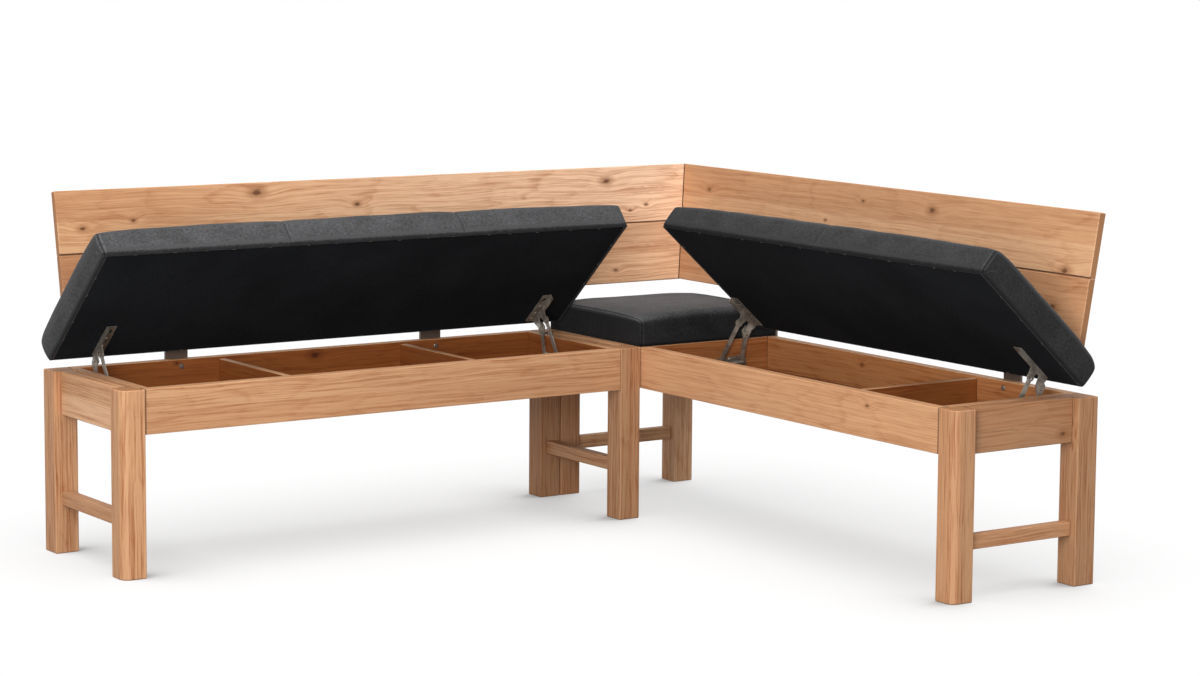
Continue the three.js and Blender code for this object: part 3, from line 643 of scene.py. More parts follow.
def oiled_oak():
    """Wild oak, sanded and oiled: a close grain of rings and short dark pores, with sound knots.

    Each stave is cut from its own log, with its own tone. Painted shade darkens the wood inside the boxes and
    under the pieces.
    """
    timber = bpy.context.scene.bench_timber
    material, tree = start_material("oiled_wild_oak")
    place = attribute(tree, "grain", "Vector")
    cut_end, box_shade, joint, tone = [attribute(tree, key) for key in ("end_grain", "inside", "joint", "tone")]
    along, across, through = place.parts()
    width, seed, step = attribute(tree, "timber", "Vector").parts()
    stave = (across / width).math("FLOOR")
    tone = step * stave + tone
    key = place.next("ShaderNodeCombineXYZ", {0: stave, 1: seed, 2: 0.37})
    chance = add_node(tree, "ShaderNodeTexWhiteNoise", {"Vector": key}, noise_dimensions="3D")
    luck, dice = Wire(chance, "Value"), Wire(chance, "Color")
    first, second, third = dice.parts()
    log = place.vector("ADD", dice.vector("MULTIPLY", LOG_SHIFT))

    side = across - width * (stave + (first * HEART_SIDE_SPREAD + HEART_SIDE))
    swing = (along * SWING_RATE + second * SWING_START).math("SINE") * HEART_SWING
    depth = third * HEART_DEPTH_SPREAD + HEART_DEPTH + (swing + through)
    knots = log.noise("knot_edge") * KNOT_RAGGED + (knot_distance(tree) - KNOT_RAGGED / 2)
    heart, rim, swirl = [knots.remap(*span, 1.0, 0.0) for span in (KNOT_HEART, KNOT_RIM, KNOT_SWIRL)]
    late, level = year_rings(log, swirl * KNOT_PUSH + side, depth, timber.ring)

    bend = log.noise("meander") * MEANDER + swirl * KNOT_BEND
    flow = log.vector("ADD", bend.next("ShaderNodeCombineXYZ", {1: bend}))
    fibre = flow.noise("fibre")
    pore = flow.noise("pore").remap(*PORE_RANGE, 0.0, 1.0) * late.remap(*PORES_BY_LATE)
    year = level.next("ShaderNodeTexWhiteNoise", {"W": level.math("FLOOR")}, "Value", noise_dimensions="1D")

    lively = width.remap(timber.leg_stave, timber.plank_stave, *LIVELY, "LINEAR")
    grain = fibre.remap(*SPREAD, -FIBRE_SHARE, FIBRE_SHARE) * lively
    streaks = flow.noise("streak").remap(*SPREAD, -STREAK_SHARE, STREAK_SHARE) * lively
    share = late * (year * LATE_SHARES[1] + LATE_SHARES[0]) + (grain + streaks)
    # Painted light and shade through the tone: darker, shaded tones get warmer, the brightest get a pale
    # painted haze
    warmth = luck * CHANCE_SHARE + tone.remap(*WARM_BY_TONE)
    light = blend(warmth, timber.light, timber.warm)
    light = blend(tone.remap(*PAINTED_HAZE_BY_TONE, "LINEAR"), light, timber.pale)
    wood = blend(share + BASE_SHARE, light, timber.dark)
    # The tone's painted light and shade, and the painted shade at the joints, set how bright the wood is
    bright = tone * log.noise("patch").remap(*SPREAD, *PATCHY) * pore.remap(0.0, 1.0, 1.0, PORE_SHADE)
    wood = shaded(wood, bright * (joint * JOINT_SHADE + 1.0))
    wood = blend(rim * RIM_SHARE, wood, timber.halo)
    wood = blend(heart * HEART_SHARE, wood, timber.knot)
    ends = blend(log.noise("end_spots").remap(*SPOTS), timber.end, timber.halo)
    wood = blend(cut_end * END_GRAIN_SHARE, wood, ends)
    # Painted shade in the boxes and under the pieces: a darker tint, lighter on the better lit sides
    box_shade_tint = blend(box_shade.remap(0.5, 1.0, 0.0, 1.0), timber.box_shade_lit, timber.inside)
    wood = blend(box_shade.remap(0.0, 0.5, 0.0, 1.0), wood, wood.vector("MULTIPLY", box_shade_tint))

    relief = fibre * 0.5 - pore * 0.6 - heart * 0.5
    finish = {"Roughness": late.remap(0.0, 1.0, 0.58, 0.5), "IOR": 1.46, "Specular IOR Level": 0.35}
    add_rough_shader(tree, wood, relief, 0.2, OAK_RELIEF, finish)
    return material


def woven_cloth():
    """Dense woven upholstery cloth of polyester and cotton: matt, mottled, with a soft sheen at its edges.

    Two attributes paint light and shade on the cloth: lighter tops and a lighter lit pad, and darker end
    panels, seams and turned-under rims.
    """
    soft = bpy.context.scene.bench_upholstery
    material, tree = start_material("grey_upholstery_cloth")
    place = attribute(tree, "weave", "Vector")
    warp, weft = [(way * (2 * math.pi / soft.thread)).math("SINE") for way in place.parts()[:2]]
    weave = warp * weft
    threads = (place.noise("slub") + place.noise("slub_across")) * 0.5
    flecks = threads.remap(*FLECK_RANGE, 0.0, 1.0)
    cloth = blend(flecks * FLECK_SHARE + weave * WEAVE_SHARE, soft.cloth, soft.fleck)
    # Painted light and shade on the cloth, from the two attributes
    lie = attribute(tree, "painted_light") * attribute(tree, "painted_facing_light")
    cloth = shaded(cloth, place.noise("wear").remap(*SPREAD, *WORN) * lie)
    sheen = {"Sheen Weight": 0.16, "Sheen Roughness": 0.4, "Sheen Tint": soft.sheen}
    finish = {"Roughness": 0.95, "Specular IOR Level": 0.1, **sheen}
    add_rough_shader(tree, cloth, weave * 0.2 + threads, 0.5, CLOTH_RELIEF, finish)
    return material


def dust_cloth():
    """Spun black dust cloth, stapled under a board: flat, dull and faintly dappled."""
    soft = bpy.context.scene.bench_upholstery
    material, tree = start_material("black_dust_cloth")
    place = object_place(tree)
    dapple = place.noise("dapple")
    shade = dapple.remap(*SPREAD, 0.8, 1.25) * place.noise("dust_cloud").remap(*SPREAD, 0.85, 1.2)
    finish = {"Roughness": 1.0, "Specular IOR Level": 0.06}
    add_rough_shader(tree, shaded(soft.lining, shade), dapple, 0.3, LINING_RELIEF, finish)
    return material


def fitting_steel(name, bright, dull, roughness, metallic, grit):
    """Pressed steel sheet, zinc plated or painted, dulled in patches with a fine grit."""
    material, tree = start_material(name)
    place = object_place(tree)
    patch = place.noise("dulled")
    fine = place.noise(grit)
    steel = blend(fine * 0.5 + patch.remap(0.35, 0.65, -0.2, 0.5), bright, dull)
    finish = {"Roughness": patch.remap(*SPREAD, roughness - 0.06, roughness + 0.1), "Metallic": metallic}
    add_rough_shader(tree, steel, fine, 0.2, STEEL_RELIEF, finish)
    return material


MATERIALS = {}


def material_of(kind):
    """The bench's material of a kind, made the first time it is asked for."""
    metal = bpy.context.scene.bench_metal
    makers = {
        "oak": oiled_oak,
        "cloth": woven_cloth,
        "lining": dust_cloth,
        "zinc": lambda: fitting_steel(
            "zinc_plated_steel", metal.zinc, metal.zinc_dark, 0.38, 0.6, "zinc_grit"
        ),
        "paint": lambda: fitting_steel(
            "painted_flat_bar", metal.paint, metal.paint, 0.48, 0.35, "paint_grit"
        ),
    }
    if kind not in MATERIALS:
        MATERIALS[kind] = makers[kind]()
    return MATERIALS[kind]


# Pads

# The shape of the cover: its lower edges' radius, the step of its grid, the points over the board and
# the angles of the rings round an end's edge, of which one is drawn in by the welt
LOW_ROUND = 8 * MM
GRID_STEP = 9 * MM
HOLLOW_POINTS = 24
END_ANGLES = (8, 30, 45, 60, 90)
WELT_RING = 2
WELT_DEPTH = 1.6 * MM
RIM_CLEAR = 3 * MM
LINE_CLEAR = 1 * MM
# How far an end panel's rings are closed towards its middle line, and how far each stands out
CAP_SHARES = (0.75, 0.5, 0.25, 0.0)
ROUNDING_SHARES = np.array([0.0, 0.45, 0.8, 1.0])
END_ROUNDING = 1 * MM
CAPS = len(CAP_SHARES)
# The cross seams: their groove, the wider dip at it, and the gathers beside it
SEAM_HALF = 3.5 * MM
SEAM_DEPTH = 1.6 * MM
DIP_DEPTH = 1.4 * MM
DIP_REACH = 22 * MM
PUCKER = 0.5 * MM
GATHER_WAVE = 26 * MM
GATHER_WANDER = 80 * MM
GATHER_REACH = 18 * MM
SEAM_CLEAR = 0.5 * MM
# The staples' pull on the lower edge, and the long and short unevenness of the filling
STAPLE_PULL = 0.3 * MM
STAPLE_WAVE = 38 * MM
STAPLE_REACH = 16 * MM
UNEVEN = 0.6 * MM
LONG_WAVE = 170 * MM
SHORT_WAVE = 60 * MM
WAVES = 14
WAVE_SPREAD = (0.7, 1.6)
# How far the sides draw in and the top's corners drop, and how full a pad is from its rear to its
# front. How far it swells out at its first end, its sides and its last end, and how near an end
SIDE_PULL = 2.5 * MM
CORNER_DROP = 9 * MM
CORNER_REACH = 90 * MM
FULLNESS_RANGE = (-0.4, 1)
LEFT_SWELLS = (5 * MM, 2.5 * MM, 0)
RIGHT_SWELLS = (0, 2.5 * MM, 2.5 * MM)
SWELL_REACH = 24 * MM
# Painted light and shade on the cloth: how bright each pad's sides and the tops are painted, and
# shares of that at the end panels, in the strips from them inwards (painted highlights and shade
# along the welts), at a cross seam and where it is turned under
PAINTED_SIDE_LIGHTS = (1.6, 0.8, 0.43)
PAINTED_TOP_LIGHT = 1.55
PAINTED_END_SHADE = 0.8
PAINTED_WELT_LIGHTS = (1.5, 0.5, 0.5, 1.35)
PAINTED_SEAM_SHADE = 0.6
PAINTED_TURNED_SHADE = 0.4
DOUBLES = 0.02 * MM


def waves(points, spacing, seed):
    """Smooth unevenness of about 1 to both sides: cosines that run in random directions."""
    random = np.random.default_rng(seed)
    directions = random.normal(size=(WAVES, points.shape[-1]))
    directions /= np.linalg.norm(directions, axis=1, keepdims=True)
    lengths = spacing * random.uniform(*WAVE_SPREAD, WAVES)
    phases = random.uniform(0, 2 * math.pi, WAVES)
    angles = points @ (2 * math.pi * directions / lengths[:, None]).T + phases
    return np.cos(angles).sum(-1) / math.sqrt(WAVES)


def pad_section(width, soft):
    """The closed outline of a pad's section, counter-clockwise across and up.

    It runs along the underside from the front, with the hollow of the board, up the rear side and
    back over the top. Returns the places, the outward directions, which points line the hollow, and
    the length along the outline.
    """
    def arc(centre, radius, start, steps):
        angles = np.radians(start + np.linspace(0, 90, steps + 1))
        out = np.stack([np.cos(angles), np.sin(angles)], -1)
        return np.array(centre) + radius * out, out

    def straight(start, end, out, steps):
        shares = np.linspace(0, 1, steps + 2)[1:-1, None]
        return np.array(start) * (1 - shares) + np.array(end) * shares, np.tile(out, (steps, 1))

    low, height, top, back, rim = LOW_ROUND, soft.pad, soft.top_round, soft.back_round, soft.rim
    under = np.linspace(rim, width - rim, HOLLOW_POINTS)
    hollow = np.column_stack([under, np.full(HOLLOW_POINTS, soft.board)])
    floor = np.array([[rim, 0.0], *hollow, [width - rim, 0.0]])
    sides = max(int((height - low - top) / GRID_STEP), 2)
    tops = max(int((width - top - back) / GRID_STEP), 4)
    front = arc((low, low), low, 180, 3)
    pieces = [
        front,
        (floor, np.tile([0.0, -1.0], (len(floor), 1))),
        arc((width - low, low), low, 270, 3),
        straight((width, low), (width, height - back), (1, 0), sides),
        arc((width - back, height - back), back, 0, 8),
        straight((width - back, height), (top, height), (0, 1), tops),
        arc((top, height - top), top, 90, 6),
        straight((0, height - top), (0, low), (-1, 0), sides),
    ]
    places = np.concatenate([p for p, _ in pieces])
    outs = np.concatenate([o for _, o in pieces])
    inner = np.zeros(len(places), bool)
    inner[len(front[0]) + 1 :][:HOLLOW_POINTS] = True
    steps = np.linalg.norm(np.diff(places, axis=0, append=places[:1]), axis=1)
    return places, outs, inner, np.concatenate([[0], np.cumsum(steps)[:-1]])


def pad_stations(long, soft, seams):
    """Distances along a pad of its rings, their insets, and which of them line the board's hollow."""
    angles = np.radians(END_ANGLES)
    end, clear = soft.end_round, soft.rim + RIM_CLEAR
    near = end * (1 - np.cos(angles))
    insets = end * (1 - np.sin(angles))
    insets[WELT_RING] += WELT_DEPTH
    even = np.linspace(end, long - end, int(long / GRID_STEP))[1:-1]
    keep = (even > clear) & (even < long - clear)
    for seam in seams:
        keep &= np.abs(even - seam) > 2.4 * SEAM_HALF
    close = [seam + SEAM_HALF * np.linspace(-2, 2, 9) for seam in seams]
    inner = np.sort(np.concatenate([even[keep], *close]))
    line = end + LINE_CLEAR
    places = np.concatenate([near, [line] * 2, inner, [long - line] * 2, long - near[::-1]])
    shrink = np.concatenate([insets, np.zeros(len(inner) + 4), insets[::-1]])
    lines = np.zeros(len(places), bool)
    lines[len(near) + 1 : -len(near) - 1] = True
    return places, shrink, lines


def pad_rings(long, width, seams, soft):
    """A pad's rings, before they are shaped, and what pad_section says of their points.

    The section's rings draw in at each end round the end panel's seam, and then close towards the
    middle line of the end panel.
    """
    places, outs, hollow, run = pad_section(width, soft)
    along, shrink, lines = pad_stations(long, soft, seams)
    section = places[None] - shrink[:, None, None] * outs
    floor_height = np.where(lines[:, None], soft.board, 0.0)
    section[..., 1] = np.where(hollow[None], floor_height, section[..., 1])
    rings = np.concatenate([np.repeat(along[:, None], len(places), 1)[..., None], section], -1)
    middle = soft.pad / 2
    closed = []
    for ring in (rings[0], rings[-1]):
        spine = np.full_like(ring, middle)
        spine[:, 0] = ring[:, 0]
        spine[:, 1] = np.clip(ring[:, 1], middle, width - middle)
        closed.append([spine + (ring - spine) * share for share in CAP_SHARES])
    return np.concatenate([closed[0][::-1], rings, closed[1]]), outs, hollow, run


def bell(away, reach):
    """1 at no distance, falling smoothly to 0."""
    return np.exp(-((away / reach) ** 2))


def pad(name, long, width, seams, seed, place_points, painted_side_light, swells):
    """A seat pad: its section carried along it, closed by sewn end panels, with its board's hollow.

    The top is crowned and fuller towards the front, the sides pull in between the corners, cross
    seams sink in and gather the cloth, and the underside's edge is drawn to its staples.
    """
    soft = bpy.context.scene.bench_upholstery
    rings, outs, hollow, run = pad_rings(long, width, seams, soft)
    capped = np.zeros((len(rings), 1), bool)
    capped[:CAPS] = True
    capped[-CAPS:] = True
    x, y, z = rings[..., 0], rings[..., 1], rings[..., 2]
    u, v = 2 * x / long - 1, 2 * y / width - 1
    from_end = long * (1 - np.abs(u))
    raised = np.clip((z - (soft.pad - soft.top_round)) / soft.top_round, 0, 1)
    skin = capped | ~(hollow[None] & (z > soft.board / 2))
    uneven = UNEVEN * (waves(rings, LONG_WAVE, seed) + 0.4 * waves(rings, SHORT_WAVE, seed + 1))
    ripple = np.sin(2 * math.pi * run[None] / GATHER_WAVE + 3 * waves(rings, GATHER_WANDER, seed + 2))
    shift = uneven.copy()
    for seam in seams:
        away = np.abs(x - seam)
        shift -= SEAM_DEPTH * bell(away, SEAM_HALF) + DIP_DEPTH * bell(away, DIP_REACH)
        shift += PUCKER * ripple * np.exp(-away / GATHER_REACH) * (away > SEAM_CLEAR)
    fading = np.exp(-np.clip(z, 0, None) / STAPLE_REACH)
    shift += STAPLE_PULL * np.sin(2 * math.pi * x / STAPLE_WAVE) * fading
    rings[..., 1:] += outs[None] * np.where(skin & ~capped & (z > LOW_ROUND / 2), shift, 0.0)[..., None]

    side = np.clip(z / soft.pad, 0, 1) * skin
    rings[..., 1] -= np.sign(v) * SIDE_PULL * (1 - u**4) * np.abs(v) ** 12 * side
    belly = np.clip(4 * z / soft.pad * (1 - z / soft.pad), 0, 1) * skin
    rings[..., 1] += np.sign(v) * swells[1] * np.abs(v) ** 20 * belly
    nearness = np.clip(1 - from_end / SWELL_REACH, 0, 1) ** 2
    rings[..., 0] += np.where(u > 0, swells[2], -swells[0]) * nearness * belly
    filled = soft.crown * (1 - u**4) * (1 - v**2)
    filled += soft.fullness * (1 - np.abs(u) ** 2.5) * np.clip(0.5 - v, *FULLNESS_RANGE)
    drawn = CORNER_DROP * np.exp(-from_end / CORNER_REACH) * np.abs(v) ** 4
    rings[..., 2] += (filled - drawn) * raised * skin
    rounding = END_ROUNDING * ROUNDING_SHARES[:, None]
    rings[:CAPS, :, 0] -= rounding[::-1]
    rings[-CAPS:, :, 0] += rounding
    rings[..., 2] = np.maximum(rings[..., 2], 0.0)

    attributes = cloth_attributes(rings, outs, run, capped, seams, painted_side_light)
    points = place_points(rings.reshape(-1, 3))
    quads = tube_faces(len(rings), len(outs))
    obj = new_piece(name, points, quads, material_of("cloth"), attributes, smooth=True)
    close_doubles(obj, DOUBLES)
    obj.data.polygons.foreach_set("use_smooth", np.full(len(obj.data.polygons), True))
    return obj


def cloth_attributes(rings, outs, run, capped, seams, painted_side_light):
    """The cloth material's attributes: a place on the cloth, and the light and shade painted on it."""
    x, y, z = rings[..., 0], rings[..., 1], rings[..., 2]
    on_side = np.stack([x, np.repeat(run[None], len(rings), 0), np.zeros_like(x)], -1)
    on_end = np.stack([z, y, np.full_like(x, 0.5)], -1)
    on_end[-CAPS:, :, 2] = 0.8
    # Painted shade on the end panels and at the cross seams, and painted highlights and shade along the welts
    strips = np.full(len(rings) - 1, painted_side_light)
    from_end = np.minimum(np.arange(len(strips)), np.arange(len(strips))[::-1])
    strips[from_end <= CAPS] = PAINTED_END_SHADE * painted_side_light
    for strip, share in enumerate(PAINTED_WELT_LIGHTS, start=CAPS):
        strips[from_end == strip] *= share
    middles = (x[:-1, 0] + x[1:, 0]) / 2
    for seam in seams:
        strips[np.abs(middles - seam) < 0.6 * SEAM_HALF] *= PAINTED_SEAM_SHADE
    # Painted light: points turned up are lighter, and the rim turned under gets painted shade
    upward = np.clip((outs[:, 1] - 0.3) / 0.65, 0, 1)
    painted_facing_light = 1 + (PAINTED_TOP_LIGHT / painted_side_light - 1) * upward**2 * (3 - 2 * upward)
    painted_facing_light = np.where(outs[:, 1] < -0.3, PAINTED_TURNED_SHADE, painted_facing_light)
    return {
        "weave": ("FLOAT_VECTOR", "POINT", np.where(capped[..., None], on_end, on_side)),
        "painted_light": ("FLOAT", "FACE", np.repeat(strips, len(outs))),
        "painted_facing_light": ("FLOAT", "POINT", np.where(capped, 1.0, painted_facing_light)),
    }


# The lined board: its edges' radius, its corners' radius, and its clearances at its sides, over its
# foot and under the cloth
BOARD_EASE = 1.5 * MM
BOARD_CORNER = 4 * MM
BOARD_CLEAR = 0.6 * MM
BOARD_FOOT = 0.2 * MM
BOARD_SLACK = 0.4 * MM
# The staples: their spacing, size and line, and how far they stray along it, from it and in angle
STAPLE_SPACING = 74 * MM
STAPLE_LONG = 8 * MM
STAPLE_WIRE = 0.7 * MM
STAPLE_LINE = 3 * MM
STRAY_ALONG = (-16, 16)
STRAY_ASIDE = (-1, 2)
STRAY_ANGLE = (-0.35, 0.35)


def lining(name, long, width, place_points):
    """The board under a pad, covered with dust cloth."""
    soft = bpy.context.scene.bench_upholstery
    inset = soft.rim + BOARD_CLEAR
    size = np.array([long - 2 * inset, width - 2 * inset, soft.board - BOARD_SLACK])
    rings = eased_block(size, [BOARD_CORNER] * 4, BOARD_EASE) + [inset, inset, BOARD_FOOT]
    faces = capped_tube(*rings.shape[:2])
    return new_piece(name, place_points(rings.reshape(-1, 3)), faces, material_of("lining"))


def box_faces(count):
    """The quads of boxes whose eight corners follow each other, low face first."""
    one = np.array([[3, 2, 1, 0], [4, 5, 6, 7], [0, 1, 5, 4], [1, 2, 6, 5], [2, 3, 7, 6], [3, 0, 4, 7]])
    return (one[None] + 8 * np.arange(count)[:, None, None]).reshape(-1, 4)


def staples(name, long, width, seed, place_points):
    """The staples that hold the cloth round the underside of a board, a little off their line and aslant."""
    random = np.random.default_rng(seed)
    line = bpy.context.scene.bench_upholstery.rim + STAPLE_LINE
    low, high = np.array([line, line]), np.array([long - line, width - line])
    boxes = []
    for axis in (0, 1):
        count = int((high - low)[axis] / STAPLE_SPACING)
        for edge in (low[1 - axis], high[1 - axis]):
            for step in np.linspace(low[axis], high[axis], count + 1)[1:-1]:
                middle = np.empty(2)
                middle[axis] = step + random.uniform(*STRAY_ALONG) * MM
                middle[1 - axis] = edge + random.uniform(*STRAY_ASIDE) * MM
                angle = (axis * math.pi / 2) + random.uniform(*STRAY_ANGLE)
                run = np.array([math.cos(angle), math.sin(angle)]) * STAPLE_LONG / 2
                over = np.array([-run[1], run[0]]) * STAPLE_WIRE / STAPLE_LONG
                corners = [middle - run - over, middle + run - over, middle + run + over, middle - run + over]
                boxes.append([[*c, z] for z in (-0.3 * STAPLE_WIRE, 0.6 * STAPLE_WIRE) for c in corners])
    points = np.array(boxes).reshape(-1, 3)
    return new_piece(name, place_points(points), box_faces(len(boxes)), material_of("zinc"))


LID_ANGLE = math.radians(42)
LID_INSET = 54 * MM
LID_RISE = 22.5 * MM
LID_DEPTH = 396 * MM
LID_GAP = 3 * MM
LID_OVERHANG = 10 * MM
SEAT_GAP = 0.3 * MM


def on_lid(wing, start):
    """How points of a lid get to the bench: tilted up at the lid's lower rear edge, then placed."""
    def place(points):
        x = points[:, 0] + start
        y = points[:, 1] - LID_DEPTH
        z = points[:, 2]
        back = y * math.cos(LID_ANGLE) + z * math.sin(LID_ANGLE)
        up = z * math.cos(LID_ANGLE) - y * math.sin(LID_ANGLE)
        return to_wing(wing, np.column_stack([x, WING_DEPTH - LID_INSET + back, FRAME_TOP + LID_RISE + up]))

    return place


def on_corner(points):
    """Points of the corner seat, which lies on the right wing's frame."""
    return points + [WING_GAP + CORNER[0], CORNER[1], FRAME_TOP + SEAT_GAP]


# Bolt caps: the drops of the bolts under the top of the rear rail, and their domed heads' radius and
# height over the rail, the degrees of their profile and of the steps round them, and their socket
BOLT_DROPS = (16 * MM, 64 * MM)
CAP_RADIUS = 6.0 * MM
CAP_HEIGHT = 3.0 * MM
CAP_SUNK = 0.2 * MM
CAP_PROFILE = (0, 68, 6)
CAP_TURNS = (0, 360, 15)
SOCKET_RADIUS = 2.6 * MM
CAP_DOUBLES = 0.01 * MM


def bolt_cap(name, wing, along, drop):
    """A domed cap over a bolt's head on the front of a rear rail."""
    steps = np.radians(np.linspace(*CAP_PROFILE))
    radii = [*(CAP_RADIUS * np.cos(steps)), SOCKET_RADIUS, SOCKET_RADIUS * 0.9, 0.0]
    heights = [*(CAP_HEIGHT * np.sin(steps)), CAP_HEIGHT, 0.55 * CAP_HEIGHT, 0.5 * CAP_HEIGHT]
    turns = np.radians(np.arange(*CAP_TURNS))
    front = np.repeat(WING_DEPTH - REAR_RAIL - CAP_SUNK - np.array(heights)[:, None], len(turns), 1)
    across, up = np.outer(radii, np.cos(turns)), np.outer(radii, np.sin(turns))
    rings = np.stack([along + across, front, FRAME_TOP - drop + up], -1)
    faces = capped_tube(*front.shape)[:-1]
    cap = new_piece(name, to_wing(wing, rings), faces, material_of("zinc"), smooth=True)
    close_doubles(cap, CAP_DOUBLES)
    return cap


# Operators

# How bright a piece's first stave is, its step from stave to stave, and its change for each metre along.
# Besides each piece's own tone, these paint light and shade: darker legs and stretchers in the shade
# under the seats, a brighter rear leg at the right corner, a darker right end where the light falls off,
# and left back planks that brighten towards the corner
PIECE_TONE = (1.0, -0.05)
PIECE_TONES_AND_LIGHT = {
    "left_leg_outer_front": (0.93,),
    "left_leg_outer_rear": (0.9,),
    "left_leg_corner_front": (0.72,),
    "left_leg_corner_rear": (0.63,),
    "right_leg_corner_front": (0.72,),
    "right_leg_corner_rear": (1.05,),
    "right_leg_outer_front": (0.86,),
    "right_leg_outer_rear": (0.71,),
    "left_outer_stretcher": (0.86,),
    "left_corner_stretcher": (0.75,),
    "right_outer_stretcher": (0.92,),
    "left_front_rail": (0.89, 0.03),
    "right_front_rail": (1.0,),
    "right_rear_rail": (1.05,),
    "left_outer_apron": (1.08, -0.1),
    "right_outer_apron": (0.71, 0.04),
    "left_back_plank_lower": (0.97, 0.0, 0.2),
    "left_back_plank_upper": (1.12, 0.0, 0.2),
    "right_back_plank_lower": (0.87, 0.03),
    "right_back_plank_upper": (1.03, -0.05),
}
# How much painted shade a piece's faces in a box get, from 0.5 for the better lit ones to 1 for the darker
# ones
BOX_SHADE_SHARES = {
    "right_rear_rail": 0.5,
    "right_outer_box_end": 0.6,
    "right_divider": 0.9,
    "right_corner_box_end": 0.5,
}
# The right front rail's one wide stave, over the width of the others
WIDE_STAVE = 2.2
# Faces that look down get the boxes' painted shade too; longer than 1, so that the eased edges
# under a piece count too
DOWNWARD = (0, 0, -2)


class BENCH_OT_timber(bpy.types.Operator):
    """Make the legs, rails, aprons, stretchers and storage boxes"""

    bl_idname = "bench.timber"
    bl_label = "Oak frame"

    def execute(self, context):
        timber = context.scene.bench_timber
        oak = material_of("oak")
        kinds = ("_leg_", "_rail", "_apron", "_stretcher", "_box_end", "_divider", "_bottom_panel")
        names = sorted(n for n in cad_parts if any(k in n for k in kinds) and "hinge" not in n)
        for seed, name in enumerate(names, start=1):
            low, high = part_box(name)
            leg = "_leg_" in name
            rounded = timber.leg_round if "_leg_outer_front" in name else 0.0
            stave = timber.leg_stave if leg else timber.stave
            ease = timber.leg_ease if leg else timber.ease
            if name == "right_front_rail":
                stave *= WIDE_STAVE
            tone = PIECE_TONES_AND_LIGHT.get(name, PIECE_TONE)
            piece = beam(f"{name}_oak", low, high, ease, stave, seed, oak, leg, rounded, tone)
            # Painted shade on the faces in the boxes and underneath
            mark_faces(piece, "inside", self.shaded_sides(name), BOX_SHADE_SHARES.get(name, 1.0))
            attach(piece, "frame")
            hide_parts(name)
        return {"FINISHED"}

    def shaded_sides(self, name):
        """The ways in which a piece's painted-shade faces look, in the bench's frame: into a box, or down."""
        left = name.startswith("left")
        along, back = ((1, 0, 0), (0, 1, 0)) if left else ((0, -1, 0), (1, 0, 0))
        against, front = [tuple(-c for c in way) for way in (along, back)]
        if "front_rail" in name:
            return [back]
        if "rear_rail" in name:
            return [front]
        if "box_end" in name:
            return [along if ("outer" in name) == left else against]
        if "divider" in name:
            return [along, against]
        if "bottom_panel" in name:
            return [(0, 0, 1)]
        return [DOWNWARD]


class BENCH_OT_back(bpy.types.Operator):
    """Make the leaning back's planks, mitred at the corner"""

    bl_idname = "bench.back"
    bl_label = "Back planks"

    def execute(self, context):
        timber = context.scene.bench_timber
        free_ends = {"left": LEFT_BACK_INSET - LEFT_LENGTH, "right": RIGHT_REACH - RIGHT_BACK_INSET}
        layout = (("lower", 0.0, LOWER_PLANK, False), ("upper", LOWER_PLANK + GROOVE, BACK_SLANT, True))
        for wing, free_end in free_ends.items():
            for level, low, high, chamfer_low in layout:
                name = f"{wing}_back_plank_{level}"
                seed = 40 + len(name) + (7 if wing == "left" else 0)
                piece = plank(
                    f"{name}_oak", wing, free_end, low, high, chamfer_low,
                    timber.ease, timber.plank_stave, seed, material_of("oak"), PIECE_TONES_AND_LIGHT[name],
                )
                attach(piece, "frame")
                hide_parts(name)
        return {"FINISHED"}


class BENCH_OT_pads(bpy.types.Operator):
    """Make the lids' and the corner seat's pads and the lined boards under them"""

    bl_idname = "bench.pads"
    bl_label = "Pads"

    def execute(self, context):
        left_long = LEFT_LENGTH + LID_OVERHANG - LID_GAP
        right_long = RIGHT_REACH + LID_OVERHANG - LID_GAP
        layout = (
            ("left_lid", left_long, LID_DEPTH, 3, on_lid("left", -LID_GAP - left_long), LEFT_SWELLS),
            ("right_lid", right_long, LID_DEPTH, 2, on_lid("right", LID_GAP), RIGHT_SWELLS),
            ("corner", WING_DEPTH, WING_DEPTH, 1, on_corner, (0, 0, 0)),
        )
        for seed, (painted_light, facts) in enumerate(zip(PAINTED_SIDE_LIGHTS, layout), start=3):
            name, long, width, panels, place, swells = facts
            body = "frame" if name == "corner" else name
            seams = [long * i / panels for i in range(1, panels)]
            cover = pad(f"{name}_pad_cover", long, width, seams, seed, place, painted_light, swells)
            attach(cover, body)
            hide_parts(f"{name}_cushion")
            board = lining(f"{name}_lined_board", long, width, place)
            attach(board, body)
            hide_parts("corner_seat_board" if name == "corner" else f"{name}_board")
            wires = staples(f"{name}_staples", long, width, seed, place)
            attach(wires, body)
        return {"FINISHED"}


class BENCH_OT_fittings(bpy.types.Operator):
    """Give the hinges, the back's bars and the wing connector their steel"""

    bl_idname = "bench.fittings"
    bl_label = "Steel fittings"

    def execute(self, context):
        for name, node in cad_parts.items():
            kind = "paint" if "back_support" in name else "zinc"
            if "hinge" in name or "back_support" in name or name == "wing_connector":
                for slot in node.material_slots:
                    slot.material = material_of(kind)
            if "back_support" in name:
                self.add_caps(name)
        return {"FINISHED"}

    def add_caps(self, name):
        """Caps over the heads of a support's bolts, in the middle of the support's width."""
        low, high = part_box(name)
        wing = name.split("_")[0]
        along = (low.x + high.x) / 2 - CORNER[0] if wing == "left" else CORNER[1] - (low.y + high.y) / 2
        for drop in BOLT_DROPS:
            cap = bolt_cap(f"{name}_cap_{round(drop / MM)}", wing, along, drop)
            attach(cap, "frame")


